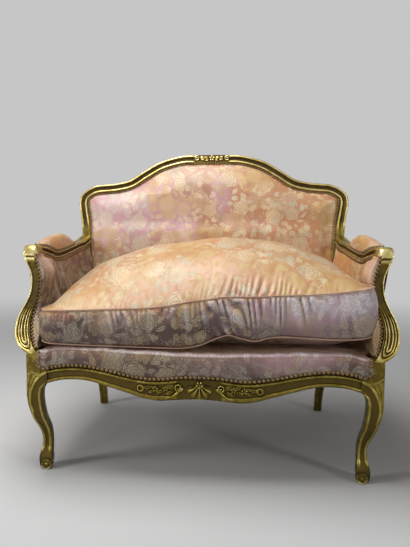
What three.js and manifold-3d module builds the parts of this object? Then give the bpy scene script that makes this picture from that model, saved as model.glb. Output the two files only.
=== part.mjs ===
// A wide bergere in the Louis XV manner: gilded beech frame, sprung seat, loose feather cushion.
// Millimetres. +X is to the right seen from the front, +Y is towards the back, +Z is up.
// The origin lies on the floor under the middle of the chair.
import * as THREE from "three";
import { mergeVertices } from "three/addons/utils/BufferGeometryUtils.js";
import Module from "manifold-3d";

const wasm = await Module();
wasm.setup();

// Clearances and cutting
const seatGap = 0.3; // between faces that rest on or are glued to each other
const clothGap = 0.35; // between a cover and its stuffing
const jointClearance = 0.4; // round a tenon, a dowel or a screw
const cutOverrun = 2; // how far a cut runs past the face it opens

// Width of the chair
const backHalfWidth = 503; // at the shoulders of the back

// Front legs
const shoulderPastKnee = 26;
const kneeX = backHalfWidth - shoulderPastKnee;
const kneeFrontY = -374;
const legHeight = 337;
const kneeSide = 40;
const blockSide = 57;
const cabrioleSweepX = 27;
const cabrioleSweepY = 50;

// Seat rails
const legAboveRail = 7;
const railTop = legHeight - legAboveRail;
const railSetback = 4;
const railThickness = 42;
const webbingDrop = 54; // from the rail's top to the ledge that the webbing is tacked under
const webbingLedge = railTop - webbingDrop;
const mouldingThickness = 22;
const tackingRecess = 8;
const beadHeight = 4;
const beadProud = 5;
const frontBow = 20;
const sideBow = 10;
const rearRailThickness = 28;
const rearRailInset = 15;

// Rear legs and back frame
const backPlaneY = 266; // front of the back frame at backPlaneZ
const backPlaneZ = 600;
const backRakeDegrees = 12.4;
const backBow = 16;
const shoulderOverhang = 60; // from the side rail's face at the rear leg out to the shoulder
const rearLegX = backHalfWidth - shoulderOverhang;
const backHeight = 954;
const backMemberWidth = 38;
const backMemberDepth = 38;
const rearLegDepth = 40;
const rearFootSide = 25;
const rearFootKick = 62;
const lowerRailRise = 102; // above the seat rails
const lowerRailTop = railTop + lowerRailRise;
const lowerRailHeight = 46;
const lowerRailThickness = 20;
const lowerRailInset = 10; // rail's face behind the stile's

// Arms
const armHeight = 632;
const armWidth = 40;
const armGilt = 22;
const armInsideShoulder = 29;
const armRearX = backHalfWidth - armInsideShoulder;
const armOutsideKnee = 19;
const armFrontX = kneeX + armOutsideKnee;
const armSetback = 94; // from the knee to the end of the arm
const armFrontY = kneeFrontY + armSetback;
const armBow = 6;
const postBulge = 47;
const postBulgeX = kneeX + postBulge;
const postFootSetback = 8;
const postFrontY = kneeFrontY + postFootSetback;
const postTopSetback = 90;
const postTopY = kneeFrontY + postTopSetback;
const postWidth = 46;
const postDepth = 46;

// Tenons, dowels, corner blocks and screws
const tenonThickness = 14;
const tenonLength = 24;
const tenonHeight = 34;
const postTenonSide = 14;
const postTenonLength = 12;
const armTenonSide = 16;
const armTenonLength = 22;
const dowelRadius = 5;
const dowelLength = 40;
const cornerBlockReach = 70;
const cornerBlockHeight = 42;
const screwRadius = 2.4;
const screwHeadRadius = 4.8;
const screwLength = 52;
const screwHeadDepth = 3;

// Webbing and springs
const webThickness = 2;
const webWidth = 52;
const webLap = 14;
const webColumns = 5;
const webRows = 3;
const springRadius = 42;
const springWaistRadius = 29;
const springWireRadius = 2;
const springTurns = 2.5;
const springColumns = 3;
const springRows = 3;
const springSideRoom = 207;
const springSpread = kneeX - springSideRoom; // from the middle to the outer springs

// Upholstery
const clothThickness = 1.6;
const nailLineGap = 2; // between the cloth's edge and the gilt edge that it is nailed along
const canvasThickness = 1.2;
const canvasRise = 6;
const deckLoft = 21;
const deckEdge = railTop + deckLoft;
const deckRise = 14;
const deckFrontDepth = 6;
const armPadFace = 22; // inside of the arm, in from the seat rail's face
const armPadSwell = 6;
const armStuffingInset = 6;
const backPadRise = 42; // from the rail's top to the foot of the inside back
const backPadFoot = railTop + backPadRise;
const outsideBackLap = 26;
const outsideBackFoot = railTop - outsideBackLap;
const backPadSwell = 36;
const backPadBody = 8;
const canvasRoom = 2; // before and behind the back's canvas
const manchetteLength = 330;
const manchetteWidth = 42;
const manchetteHeight = 50;
const manchetteMiddleY = -34;

// Seat cushion
const cushionSideRoom = 36; // from the cushion's corner out to the knee
const cushionHalfWidth = kneeX - cushionSideRoom;
const cushionSetback = 4;
const cushionFrontY = kneeFrontY + cushionSetback;
const cushionRearRoom = 70;
const cushionRearY = backPlaneY - cushionRearRoom;
const cushionTaper = 40;
const cushionCorner = 46;
const cushionBoxing = 105;
const cushionCrown = 158;
const cushionLean = 62;
const cushionBulge = 9;
const cushionEdgeRise = 18;
const cushionPinch = 8;
const pipingRadius = 2.6;
const coverSlitWidth = 320;
const coverSlitHeight = 3;

// Carving
const shellRadius = 46;
const shellProud = 9;
const shellSpread = 78; // degrees each side of straight down
const shellRibs = 6;
const scrollRadius = 11;
const scrollWireRadius = 3.6;
const crestBossHalfWidth = 62;
const crestBossHeight = 24;
const crestBossProud = 5;

const gilt = { color: 0xa8842c, roughness: 0.38, metalness: 0.85 };
const beech = { color: 0xb98d5a, roughness: 0.7, metalness: 0 };
const silk = { color: 0xd3a08c, roughness: 0.45, metalness: 0 };
const jute = { color: 0xb39a6b, roughness: 0.95, metalness: 0 };
const hair = { color: 0x6d5a48, roughness: 1, metalness: 0 };
const down = { color: 0xe9e2d2, roughness: 1, metalness: 0 };
const steel = { color: 0x8f8f8b, roughness: 0.4, metalness: 1 };

const chair = new THREE.Group();
const frame = new THREE.Group();
const upholstery = new THREE.Group();
const looseCushion = new THREE.Group();
chair.add(frame, upholstery, looseCushion);

const vec = (x, y, z) => new THREE.Vector3(x, y, z);
const mix = THREE.MathUtils.lerp;
const ease = THREE.MathUtils.smoothstep;
const steps = (count) => Array.from({ length: count + 1 }, (_, i) => i / count);
const stepsBetween = (from, to, count) => steps(count).map((s) => mix(from, to, s));

// Smooth values of a table whose first column is the place along it.
function smoothAt(table, place) {
  const last = table.length - 1;
  let i = 0;
  while (i < last - 1 && place > table[i + 1][0]) i += 1;
  const row = (k) => table[Math.min(Math.max(k, 0), last)];
  const span = table[i + 1][0] - table[i][0];
  const f = THREE.MathUtils.clamp((place - table[i][0]) / span, 0, 1);
  const slope = (k, c) => (row(k + 1)[c] - row(k - 1)[c]) / (row(k + 1)[0] - row(k - 1)[0]);
  return table[i].slice(1).map((start, n) => {
    const end = table[i + 1][n + 1];
    return (
      start * (2 * f ** 3 - 3 * f ** 2 + 1) +
      end * (3 * f ** 2 - 2 * f ** 3) +
      span * slope(i, n + 1) * (f ** 3 - 2 * f ** 2 + f) +
      span * slope(i + 1, n + 1) * (f ** 3 - f ** 2)
    );
  });
}

// Normal of a ring of points, as long as twice its area.
function ringNormal(ring) {
  const normal = vec(0, 0, 0);
  ring.forEach((p, i) => normal.add(p.clone().cross(ring[(i + 1) % ring.length])));
  return normal;
}

const middleOf = (points) =>
  points.reduce((sum, p) => sum.add(p), vec(0, 0, 0)).divideScalar(points.length);

// Triangles that close a flat ring. There are too few where points lie in line.
function capTriangles(ring) {
  const normal = ringNormal(ring).normalize();
  const side = ring[1].clone().sub(ring[0]).cross(normal).normalize();
  const up = normal.clone().cross(side);
  const flat = ring.map((p) => new THREE.Vector2(p.dot(side), p.dot(up)));
  return THREE.ShapeUtils.triangulateShape(flat, []);
}

function geometryOf(points, triangles) {
  let volume = 0;
  for (const [a, b, c] of triangles) {
    volume += points[a].dot(points[b].clone().cross(points[c]));
  }
  const index = triangles.flatMap(([a, b, c]) => (volume < 0 ? [a, c, b] : [a, b, c]));
  const coordinates = points.flatMap((p) => [p.x, p.y, p.z]);
  const geometry = new THREE.BufferGeometry();
  geometry.setAttribute("position", new THREE.Float32BufferAttribute(coordinates, 3));
  geometry.setIndex(index);
  return geometry;
}

// A body inside rings of points, closed at each end by a flat cap, a pole or its own start.
function skin(rings, { startPole, endPole, closed = false } = {}) {
  const count = rings[0].length;
  const points = rings.flat();
  const triangles = [];
  rings.slice(0, closed ? rings.length : -1).forEach((_, r) => {
    const here = r * count;
    const next = ((r + 1) % rings.length) * count;
    for (let i = 0; i < count; i += 1) {
      const j = (i + 1) % count;
      triangles.push([here + i, here + j, next + j], [here + i, next + j, next + i]);
    }
  });
  const close = (ring, base, pole, atEnd) => {
    const add = (a, b, c) => triangles.push(atEnd ? [a, b, c] : [a, c, b]);
    const cap = pole ? [] : capTriangles(ring);
    if (cap.length === count - 2) {
      for (const [a, b, c] of cap) add(base + a, base + b, base + c);
      return;
    }
    points.push(pole ?? middleOf(ring));
    const tip = points.length - 1;
    ring.forEach((_, i) => add(base + i, base + ((i + 1) % count), tip));
  };
  if (!closed) {
    close(rings[0], 0, startPole, false);
    close(rings.at(-1), (rings.length - 1) * count, endPole, true);
  }
  return geometryOf(points, triangles);
}

// A body between two grids of points that have the same rows and columns.
function slab(front, back) {
  const rows = front.length;
  const columns = front[0].length;
  const points = [...front.flat(), ...back.flat()];
  const triangles = [];
  const at = (r, c, side) => side * rows * columns + r * columns + c;
  const quad = (a, b, c, d) => triangles.push([a, b, c], [a, c, d]);
  for (let r = 0; r < rows - 1; r += 1) {
    for (let c = 0; c < columns - 1; c += 1) {
      quad(at(r, c, 0), at(r, c + 1, 0), at(r + 1, c + 1, 0), at(r + 1, c, 0));
      quad(at(r, c, 1), at(r + 1, c, 1), at(r + 1, c + 1, 1), at(r, c + 1, 1));
    }
    quad(at(r, 0, 0), at(r + 1, 0, 0), at(r + 1, 0, 1), at(r, 0, 1));
    quad(at(r + 1, columns - 1, 0), at(r, columns - 1, 0), at(r, columns - 1, 1), at(r + 1, columns - 1, 1));
  }
  for (let c = 0; c < columns - 1; c += 1) {
    quad(at(0, c + 1, 0), at(0, c, 0), at(0, c, 1), at(0, c + 1, 1));
    quad(at(rows - 1, c, 0), at(rows - 1, c + 1, 0), at(rows - 1, c + 1, 1), at(rows - 1, c, 1));
  }
  return geometryOf(points, triangles);
}

// A grid moved along its own normals. Rows cross columns into the side that distance goes to.
function offsetGrid(grid, distance) {
  const last = grid.length - 1;
  return grid.map((row, r) =>
    row.map((p, c) => {
      const across = row[Math.min(c + 1, row.length - 1)].clone().sub(row[Math.max(c - 1, 0)]);
      const along = grid[Math.min(r + 1, last)][c].clone().sub(grid[Math.max(r - 1, 0)][c]);
      return p.clone().addScaledVector(across.cross(along).normalize(), distance);
    }),
  );
}

const gridOf = (rows, columns, pointAt) => rows.map((r) => columns.map((c) => pointAt(c, r)));

function solidOf(geometry) {
  const bare = geometry.index ? geometry.toNonIndexed() : geometry.clone();
  bare.deleteAttribute("normal");
  bare.deleteAttribute("uv");
  const merged = mergeVertices(bare, 1e-3);
  return new wasm.Manifold(
    new wasm.Mesh({
      numProp: 3,
      vertProperties: merged.attributes.position.array,
      triVerts: new Uint32Array(merged.index.array),
    }),
  );
}

// A geometry with others joined to it and others cut away.
function carved(geometry, { joined = [], cuts = [] }) {
  let solid = solidOf(geometry);
  for (const extra of joined) solid = solid.add(solidOf(extra));
  for (const cut of cuts) solid = solid.subtract(solidOf(cut));
  const { vertProperties, triVerts } = solid.getMesh();
  return new THREE.BufferGeometry()
    .setAttribute("position", new THREE.BufferAttribute(vertProperties, 3))
    .setIndex(new THREE.BufferAttribute(triVerts, 1));
}

function boxBetween(a, b) {
  const size = a.clone().max(b).sub(a.clone().min(b));
  const middle = a.clone().add(b).multiplyScalar(0.5);
  return new THREE.BoxGeometry(size.x, size.y, size.z).translate(middle.x, middle.y, middle.z);
}

function rod(start, end, radius, sides) {
  const axis = end.clone().sub(start);
  const turn = new THREE.Quaternion().setFromUnitVectors(vec(0, 1, 0), axis.clone().normalize());
  const middle = start.clone().add(end).multiplyScalar(0.5);
  return new THREE.CylinderGeometry(radius, radius, axis.length(), sides)
    .applyQuaternion(turn)
    .translate(middle.x, middle.y, middle.z);
}

// A tube along points, with its sides turned to a direction that never runs along it.
function tube(path, radiusAt, sides, upward, closed = false) {
  const last = path.length - 1;
  const rings = path.map((p, i) => {
    const before = path[closed ? (i + last) % path.length : Math.max(i - 1, 0)];
    const after = path[closed ? (i + 1) % path.length : Math.min(i + 1, last)];
    const side = after.clone().sub(before).cross(upward).normalize();
    const up = side.clone().cross(after.clone().sub(before)).normalize();
    return Array.from({ length: sides }, (_, k) => {
      const angle = (2 * Math.PI * k) / sides;
      return p
        .clone()
        .addScaledVector(side, radiusAt(i / last) * Math.cos(angle))
        .addScaledVector(up, radiusAt(i / last) * Math.sin(angle));
    });
  });
  return skin(rings, { closed });
}

function mirrored(geometry) {
  const copy = geometry.index ? geometry.toNonIndexed() : geometry.clone();
  const points = copy.attributes.position;
  const turned = [];
  for (let i = 0; i < points.count; i += 3) {
    for (const k of [i, i + 2, i + 1]) turned.push(-points.getX(k), points.getY(k), points.getZ(k));
  }
  const other = new THREE.BufferGeometry();
  return other.setAttribute("position", new THREE.Float32BufferAttribute(turned, 3));
}

const bothSides = (geometry) => [geometry, mirrored(geometry)];

function piece(group, name, geometry, finish) {
  const mesh = new THREE.Mesh(geometry, new THREE.MeshStandardMaterial(finish));
  mesh.name = name;
  group.add(mesh);
}

function pair(group, name, geometry, finish) {
  piece(group, `${name}_right`, geometry, finish);
  piece(group, `${name}_left`, mirrored(geometry), finish);
}

// Where the seat frame lies

const legInnerX = kneeX - blockSide;
const legBackY = kneeFrontY + blockSide;
const railEndX = legInnerX - seatGap;
const railFaceX = kneeX - railSetback;
const backRake = Math.tan(THREE.MathUtils.degToRad(backRakeDegrees));
const backY = (x, z) =>
  backPlaneY + (z - backPlaneZ) * backRake + backBow * (1 - (x / backHalfWidth) ** 2);
const rearLegFaceY = (z) => backY(rearLegX, Math.max(z, webbingLedge));
const rearLegFrontY = rearLegFaceY(webbingLedge);
const frontFaceY = (x) => kneeFrontY + railSetback - frontBow * (1 - (x / legInnerX) ** 2);
const sideFaceX = (y) => {
  const s = THREE.MathUtils.clamp((y - legBackY) / (rearLegFrontY - legBackY), 0, 1);
  return mix(railFaceX, rearLegX, s) + sideBow * 4 * s * (1 - s);
};
const rearRailFrontY = rearLegFrontY + rearRailInset;

// Place from the middle to the leg, underside and gilt edge, the last two as shares of railTop.
const frontRailShares = [
  [0, 0.703, 0.861],
  [0.1, 0.694, 0.857],
  [0.165, 0.689, 0.85],
  [0.25, 0.68, 0.837],
  [0.345, 0.692, 0.838],
  [0.47, 0.736, 0.861],
  [0.595, 0.779, 0.893],
  [0.71, 0.816, 0.916],
  [0.81, 0.824, 0.923],
  [0.915, 0.811, 0.91],
  [1, 0.779, 0.888],
];
// The same from a front leg to a rear leg.
const sideRailShares = [
  [0, 0.779, 0.888],
  [0.1, 0.812, 0.908],
  [0.22, 0.82, 0.918],
  [0.4, 0.79, 0.9],
  [0.55, 0.768, 0.885],
  [0.7, 0.79, 0.898],
  [0.85, 0.815, 0.912],
  [1, 0.8, 0.905],
];
const frontRailEdges = (x) =>
  smoothAt(frontRailShares, Math.min(Math.abs(x) / railEndX, 1)).map((share) => share * railTop);

// Tenons and dowels

// What a rail puts into a leg, or the mortise for it when it is given clearance.
function railTenon(root, direction, clearance = 0) {
  const half = tenonThickness / 2 + clearance;
  const top = railTop - 2 * beadHeight;
  const across = vec(Math.abs(direction.y), Math.abs(direction.x), 0).multiplyScalar(half);
  const start = root.clone().addScaledVector(direction, -cutOverrun);
  const end = root.clone().addScaledVector(direction, tenonLength + clearance);
  return boxBetween(
    start.clone().sub(across).setZ(top - tenonHeight - clearance),
    end.clone().add(across).setZ(top + clearance),
  );
}

const frontTenonRoot = vec(railEndX, kneeFrontY + railSetback + railThickness / 2, 0);
const sideTenonRoot = vec(railFaceX - railThickness / 2, legBackY + seatGap, 0);
const rearTenonRoot = vec(rearLegX - railThickness * 0.35, rearLegFrontY - seatGap, 0);

// Height, sweep inwards, shaft side and block side, the last three as shares.
const frontLegShares = [
  [0, 0.86, 0.56, 0],
  [0.02, 0.78, 0.74, 0],
  [0.055, 0.72, 0.86, 0],
  [0.1, 0.72, 0.88, 0],
  [0.13, 0.8, 0.8, 0],
  [0.154, 0.87, 0.75, 0],
  [0.184, 0.97, 0.675, 0],
  [0.255, 1, 0.65, 0],
  [0.312, 0.9, 0.7, 0],
  [0.368, 0.72, 0.775, 0],
  [0.457, 0.37, 0.875, 0],
  [0.561, 0.13, 0.94, 0],
  [0.659, 0, 1, 0],
  [0.706, 0, 1, 0.12],
  [0.736, 0, 1, 0.42],
  [0.765, 0, 1, 1],
  [1, 0, 1, 1],
];
// Section of a front leg from its inner front corner, as shares of its side.
const legSectionShares = [
  [0, 0.07],
  [0.1, 0],
  [0.24, 0.05],
  [0.76, 0.06],
  [0.9, 0],
  [1, 0.1],
  [0.94, 0.24],
  [0.95, 0.76],
  [1, 0.9],
  [0.93, 1],
  [0.07, 1],
  [0, 0.93],
];

function frontLegRing(heightShare) {
  const [sweep, shaft, block] = smoothAt(frontLegShares, heightShare);
  const side = kneeSide * shaft + (blockSide - kneeSide) * block;
  const outerX = kneeX - cabrioleSweepX * sweep;
  const frontY = kneeFrontY + cabrioleSweepY * sweep;
  return legSectionShares.map(([across, deep]) =>
    vec(outerX - side * (1 - across), frontY + side * deep, legHeight * heightShare),
  );
}

const postRoot = vec(kneeX - blockSide * 0.45, kneeFrontY + blockSide * 0.58, legHeight);

function postTenon(clearance = 0) {
  const half = postTenonSide / 2 + clearance;
  return boxBetween(
    postRoot.clone().add(vec(-half, -half, -postTenonLength - clearance)),
    postRoot.clone().add(vec(half, half, cutOverrun)),
  );
}

const clothRebateX = legInnerX + blockSide * 0.3;

function frontLeg() {
  const rebate = boxBetween(
    vec(legInnerX - cutOverrun, kneeFrontY - cutOverrun, frontRailEdges(railEndX)[1]),
    vec(clothRebateX, kneeFrontY + railSetback + tackingRecess, legHeight + cutOverrun),
  );
  return carved(skin(frontLegShares.map(([share]) => frontLegRing(share))), {
    cuts: [
      rebate,
      postTenon(jointClearance),
      railTenon(frontTenonRoot, vec(1, 0, 0), jointClearance),
      railTenon(sideTenonRoot, vec(0, -1, 0), jointClearance),
      screwHole("front"),
    ],
  });
}

// Section of a front or side rail: distance behind its face, and height.
function railSection([underside, giltTop]) {
  return [
    [beadHeight / 2, underside],
    [0, underside + beadHeight],
    [beadHeight / 4, underside + 2 * beadHeight],
    [beadProud, underside + 3 * beadHeight],
    [beadProud, giltTop - 2.6 * beadHeight],
    [beadHeight / 4, giltTop - 1.7 * beadHeight],
    [0, giltTop - 0.8 * beadHeight],
    [beadHeight * 0.75, giltTop],
    [tackingRecess, giltTop],
    [tackingRecess, railTop],
    [railThickness, railTop],
    [railThickness, webbingLedge],
    [mouldingThickness, webbingLedge],
    [mouldingThickness, underside],
  ];
}

// A scallop shell that hangs from the middle of the front rail.
function shell() {
  const face = frontFaceY(0);
  const hinge = frontRailEdges(0)[0] + shellRadius * 0.95;
  const radiusShares = [0.12, 0.45, 0.8, 1];
  const proudShares = [0.6, 1, 0.8, 0.15];
  const columns = steps(shellRibs * 2);
  const at = (c, r, proud) => {
    const rib = Math.round(c * shellRibs * 2) % 2;
    const angle = THREE.MathUtils.degToRad(mix(-shellSpread, shellSpread, c));
    const radius = shellRadius * radiusShares[r] * (r > 1 ? mix(0.93, 1, rib) : 1);
    const y = face - shellProud * proudShares[r] * mix(0.6, 1, rib) * proud + (1 - proud) * tackingRecess;
    return vec(radius * Math.sin(angle), y, hinge - radius * Math.cos(angle));
  };
  const rows = radiusShares.map((_, r) => r);
  return slab(
    gridOf(rows, columns, (c, r) => at(c, r, 1)),
    gridOf(rows, columns, (c, r) => at(c, r, 0)),
  );
}

// The C-shaped scroll beside the shell.
function scroll() {
  const middle = vec(shellRadius * 1.02, frontFaceY(shellRadius) + beadProud * 0.6, 0);
  middle.z = frontRailEdges(shellRadius)[0] + scrollRadius * 1.6;
  const path = steps(9).map((s) => {
    const angle = mix(-0.55, 1.25, s) * Math.PI;
    const radius = scrollRadius * mix(1.3, 0.55, s);
    return vec(middle.x + radius * Math.cos(angle), middle.y, middle.z + radius * Math.sin(angle));
  });
  return tube(path, (s) => scrollWireRadius * mix(0.6, 1, Math.sin(Math.PI * s)), 5, vec(0, 1, 0));
}

function frontRail() {
  const rings = stepsBetween(-railEndX, railEndX, 24).map((x) =>
    railSection(frontRailEdges(x)).map(([back, z]) => vec(x, frontFaceY(x) + back, z)),
  );
  return carved(skin(rings), {
    joined: [...bothSides(railTenon(frontTenonRoot, vec(1, 0, 0))), shell(), ...bothSides(scroll())],
  });
}

function sideRail() {
  const start = sideTenonRoot.y;
  const rings = steps(10).map((s) => {
    const edges = smoothAt(sideRailShares, s).map((share) => share * railTop);
    return railSection(edges).map(([back, z]) => {
      const y = mix(start, rearLegFaceY(z) + cutOverrun, s);
      return vec(sideFaceX(y) - back, y, z);
    });
  });
  const body = carved(skin(rings), { cuts: [rearLegBody().translate(0, -seatGap, 0)] });
  return carved(body, {
    joined: [railTenon(sideTenonRoot, vec(0, -1, 0)), railTenon(rearTenonRoot, vec(0, 1, 0))],
  });
}

// Outline of the back from the rear foot to the middle of the crest: place, distance from
// the middle as a share of backHalfWidth, height as a share of backHeight.
const backOutlineShares = [
  [0, 0.829, 0],
  [1, 0.832, 0.06],
  [2, 0.845, 0.147],
  [3, 0.864, 0.231],
  [4, 0.882, 0.28],
  [5, 0.898, 0.346],
  [6, 0.921, 0.44],
  [7, 0.945, 0.56],
  [8, 0.962, 0.65],
  [9, 0.966, 0.69],
  [10, 0.975, 0.73],
  [11, 0.991, 0.775],
  [12, 1, 0.812],
  [13, 0.984, 0.842],
  [14, 0.936, 0.864],
  [15, 0.873, 0.878],
  [16, 0.8, 0.882],
  [17, 0.715, 0.887],
  [18, 0.618, 0.9],
  [19, 0.511, 0.936],
  [20, 0.39, 0.972],
  [21, 0.24, 0.995],
  [22, 0.12, 0.999],
  [23, 0, 1],
];
const crestPlace = 23;
const crestJointPlace = 15.5;
// Place, width, depth, moulding and backward kick, the last four as shares.
const stileShares = [
  [0, 0, 0, 0, 1],
  [1, 0.12, 0.15, 0, 0.78],
  [2, 0.45, 0.45, 0, 0.42],
  [3, 0.8, 0.8, 0, 0.13],
  [4, 1, 1, 0, 0],
  [8, 1, 1, 0, 0],
  [9, 1, 0.95, 0, 0],
  [10, 1, 0.95, 1, 0],
  [11, 1, 0.95, 1, 0],
  [23, 1, 0.95, 1, 0],
];
// Section of the back frame: inwards from its outer edge, back from its face.
const stileSectionShares = [
  [0, 0.16],
  [0.07, 0.03],
  [0.19, 0],
  [0.28, 0.12],
  [0.46, 0.14],
  [0.55, 0.03],
  [0.68, 0],
  [0.76, 0.05],
  [0.78, 0.22],
  [1, 0.22],
  [1, 0.93],
  [0.9, 1],
  [0.1, 1],
  [0, 0.93],
];
const mouldedShare = 0.25; // section points nearer the face than this belong to the moulding

function outlineAt(place) {
  const [x, z] = smoothAt(backOutlineShares, place);
  return new THREE.Vector2(x * backHalfWidth, z * backHeight);
}

function backRing(place, sectionShares = stileSectionShares) {
  const point = outlineAt(place);
  const reach = 0.05;
  const along = outlineAt(Math.min(place + reach, crestPlace)).sub(outlineAt(Math.max(place - reach, 0)));
  const upper = ease(point.y, railTop, lowerRailTop);
  const inward = new THREE.Vector2(-along.y, along.x * upper).normalize();
  const [wide, deep, moulded, kick] = smoothAt(stileShares, place);
  const width = mix(rearFootSide, backMemberWidth, wide);
  const depth = mix(rearFootSide, rearLegDepth, deep);
  return sectionShares.map(([across, back]) => {
    const x = point.x + inward.x * across * width;
    const z = point.y + inward.y * across * width;
    const lowerY = rearLegFaceY(z) + rearFootKick * kick;
    const flat = back < mouldedShare ? back * Math.max(moulded, 0) : back;
    return vec(x, mix(lowerY, backY(x, z), upper) + flat * depth, z);
  });
}

// Place on the outline of a height below the shoulder.
const placeOfHeight = (z) => stepsBetween(0, 12, 240).find((place) => outlineAt(place).y >= z);
const innerXAt = (z) => Math.min(...backRing(placeOfHeight(z)).map((p) => p.x));
const rearLegInnerX = innerXAt(railTop);
const rearRailTenonRoot = vec(innerXAt(railTop - tenonHeight), rearRailFrontY + rearRailThickness * 0.72, 0);
const lowerRailEndX = innerXAt(lowerRailTop - lowerRailHeight / 2);
const lowerRailFrontY = backY(lowerRailEndX, lowerRailTop - lowerRailHeight / 2) + lowerRailInset;

function crestDowel(clearance = 0) {
  const at = (offset) => middleOf(backRing(crestJointPlace + offset));
  const along = at(0.2).sub(at(-0.2)).normalize();
  const reach = dowelLength / 2 + 2 * clearance;
  return rod(
    at(0).addScaledVector(along, -reach),
    at(0).addScaledVector(along, reach),
    dowelRadius + clearance,
    10,
  );
}

function lowerRailTenon(clearance = 0) {
  const foot = lowerRailTop - lowerRailHeight * 0.8 - clearance;
  const top = lowerRailTop - lowerRailHeight * 0.2 + clearance;
  return boxBetween(
    vec(lowerRailEndX - lowerRailThickness / 2, lowerRailFrontY + lowerRailThickness * 0.2 - clearance, foot),
    vec(
      lowerRailEndX + armTenonLength + clearance,
      lowerRailFrontY + lowerRailThickness * 0.8 + clearance,
      top,
    ),
  );
}

const crestSplit = 0.004;

function rearLegBody() {
  const places = [...stepsBetween(0, 8, 8), 9, ...stepsBetween(9.5, crestJointPlace - crestSplit, 11)];
  return skin(places.map((place) => backRing(place)));
}

function rearLeg() {
  return carved(rearLegBody(), {
    cuts: [
      crestDowel(jointClearance),
      railTenon(rearTenonRoot, vec(0, 1, 0), jointClearance),
      railTenon(rearRailTenonRoot, vec(1, 0, 0), jointClearance),
      lowerRailTenon(jointClearance),
      armTenon(jointClearance),
    ],
  });
}

// A low boss with five lobes where flowers are carved on the crest.
function crestCarving() {
  const z = backHeight - backMemberWidth * 0.38;
  const face = backY(0, z);
  const count = 15;
  const ring = (share, proud) =>
    Array.from({ length: count }, (_, i) => {
      const angle = (2 * Math.PI * i) / count;
      const radius = share * (1 + 0.07 * Math.cos(5 * angle));
      return vec(
        crestBossHalfWidth * radius * Math.cos(angle),
        face - crestBossProud * proud,
        z + (crestBossHeight / 2) * radius * Math.sin(angle),
      );
    });
  const inside = vec(0, face + backMemberDepth * 0.3, z);
  return skin([ring(1, 0), ring(0.8, 0.8)], {
    startPole: inside,
    endPole: vec(0, face - crestBossProud, z),
  });
}

function crestRail() {
  const half = stepsBetween(crestJointPlace + crestSplit, crestPlace, 12).map((place) => backRing(place));
  const other = half.slice(0, -1).map((ring) => ring.map((p) => vec(-p.x, p.y, p.z)));
  return carved(skin([...half, ...other.reverse()]), {
    joined: [crestCarving()],
    cuts: bothSides(crestDowel(jointClearance)),
  });
}

function rearRail() {
  const front = rearRailFrontY;
  const ledgeY = front + webLap + cutOverrun;
  const underside = railTop * sideRailShares.at(-1)[1];
  const profileAt = (x) => {
    const back = (z) => backY(x, z) + rearLegDepth - seatGap;
    return [
      [front, webbingLedge],
      [front, railTop],
      [back(railTop), railTop],
      [back(underside + beadHeight), underside + beadHeight],
      [back(underside) - beadHeight / 2, underside],
      [ledgeY, underside],
      [ledgeY, webbingLedge],
    ];
  };
  return carved(betweenStiles(profileAt, 6), {
    joined: bothSides(railTenon(rearRailTenonRoot, vec(1, 0, 0))),
    cuts: bothSides(screwHole("rear")),
  });
}

// A bar from one stile to the other, with a section that may change along it.
function betweenStiles(profileAt, count) {
  const rings = stepsBetween(-1, 1, count).map((side) =>
    profileAt(side * lowerRailEndX).map(([y, z]) => vec(side * (innerXAt(z) + cutOverrun), y, z)),
  );
  return carved(skin(rings), { cuts: bothSides(rearLegBody().translate(-seatGap, 0, 0)) });
}

function lowerBackRail() {
  const foot = lowerRailTop - lowerRailHeight;
  const profileAt = (x) =>
    [
      [0, foot],
      [0, lowerRailTop],
      [lowerRailThickness, lowerRailTop],
      [lowerRailThickness, foot],
    ].map(([back, z]) => [backY(x, z) + lowerRailInset + back, z]);
  return carved(betweenStiles(profileAt, 6), { joined: bothSides(lowerRailTenon()) });
}

// Place from the stile to the knuckle, drop below armHeight as a share of it.
const armDropShares = [
  [0, -0.019],
  [0.1, 0.003],
  [0.22, 0.012],
  [0.4, 0.03],
  [0.56, 0.041],
  [0.66, 0.039],
  [0.77, 0.019],
  [0.87, 0.007],
  [0.96, 0.002],
  [1, 0.012],
];
// Section of an arm rail: across its width, above its middle as a share of armGilt.
const armSectionShares = [
  [0.04, 0],
  [0, -0.2],
  [0.09, -0.5],
  [0, -0.8],
  [0.05, -1],
  [0.15, -1],
  [0.15, -1.4],
  [0.85, -1.4],
  [0.85, -1],
  [0.95, -1],
  [1, -0.8],
  [0.91, -0.5],
  [1, -0.2],
  [0.96, 0],
  [0.86, 0.08],
  [0.14, 0.08],
];
const armSeatShare = 0.86; // from here forward the underside is the flat seat of the support
const armSeatZ = armHeight - armGilt * 1.6;
const armRearZ = armHeight * (1 - armDropShares[0][1]);

function armMiddle(s) {
  const rearY = backY(armRearX, armRearZ);
  return vec(
    mix(armRearX, armFrontX, s) + armBow * 4 * s * (1 - s),
    mix(rearY, armFrontY, s),
    armHeight * (1 - smoothAt(armDropShares, s)[0]),
  );
}

function armRing(s) {
  const middle = armMiddle(s);
  const nose = ease(s, 0.97, 1);
  return armSectionShares.map(([across, up]) => {
    const x = middle.x + armWidth * (across - 0.5) * (1 - 0.25 * nose);
    const seated = up < -1.2 && s > armSeatShare;
    const z = seated ? armSeatZ : middle.z + armGilt * up * (1 - 0.1 * nose);
    const rearY = backY(x, z) - seatGap;
    return vec(x, s === 0 ? rearY : Math.min(middle.y, rearY), z);
  });
}

function armTenon(clearance = 0) {
  const half = armTenonSide / 2 + clearance;
  const root = armMiddle(0).add(vec(0, 0, -armGilt * 0.65));
  const middleY = root.y;
  return boxBetween(
    vec(root.x - half, middleY - 3 * cutOverrun, root.z - half * 0.75),
    vec(root.x + half, middleY + armTenonLength + clearance, root.z + half * 0.75),
  );
}

const headTenonRoot = vec(armFrontX, postTopY + postDepth * 0.42, armSeatZ);

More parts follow.
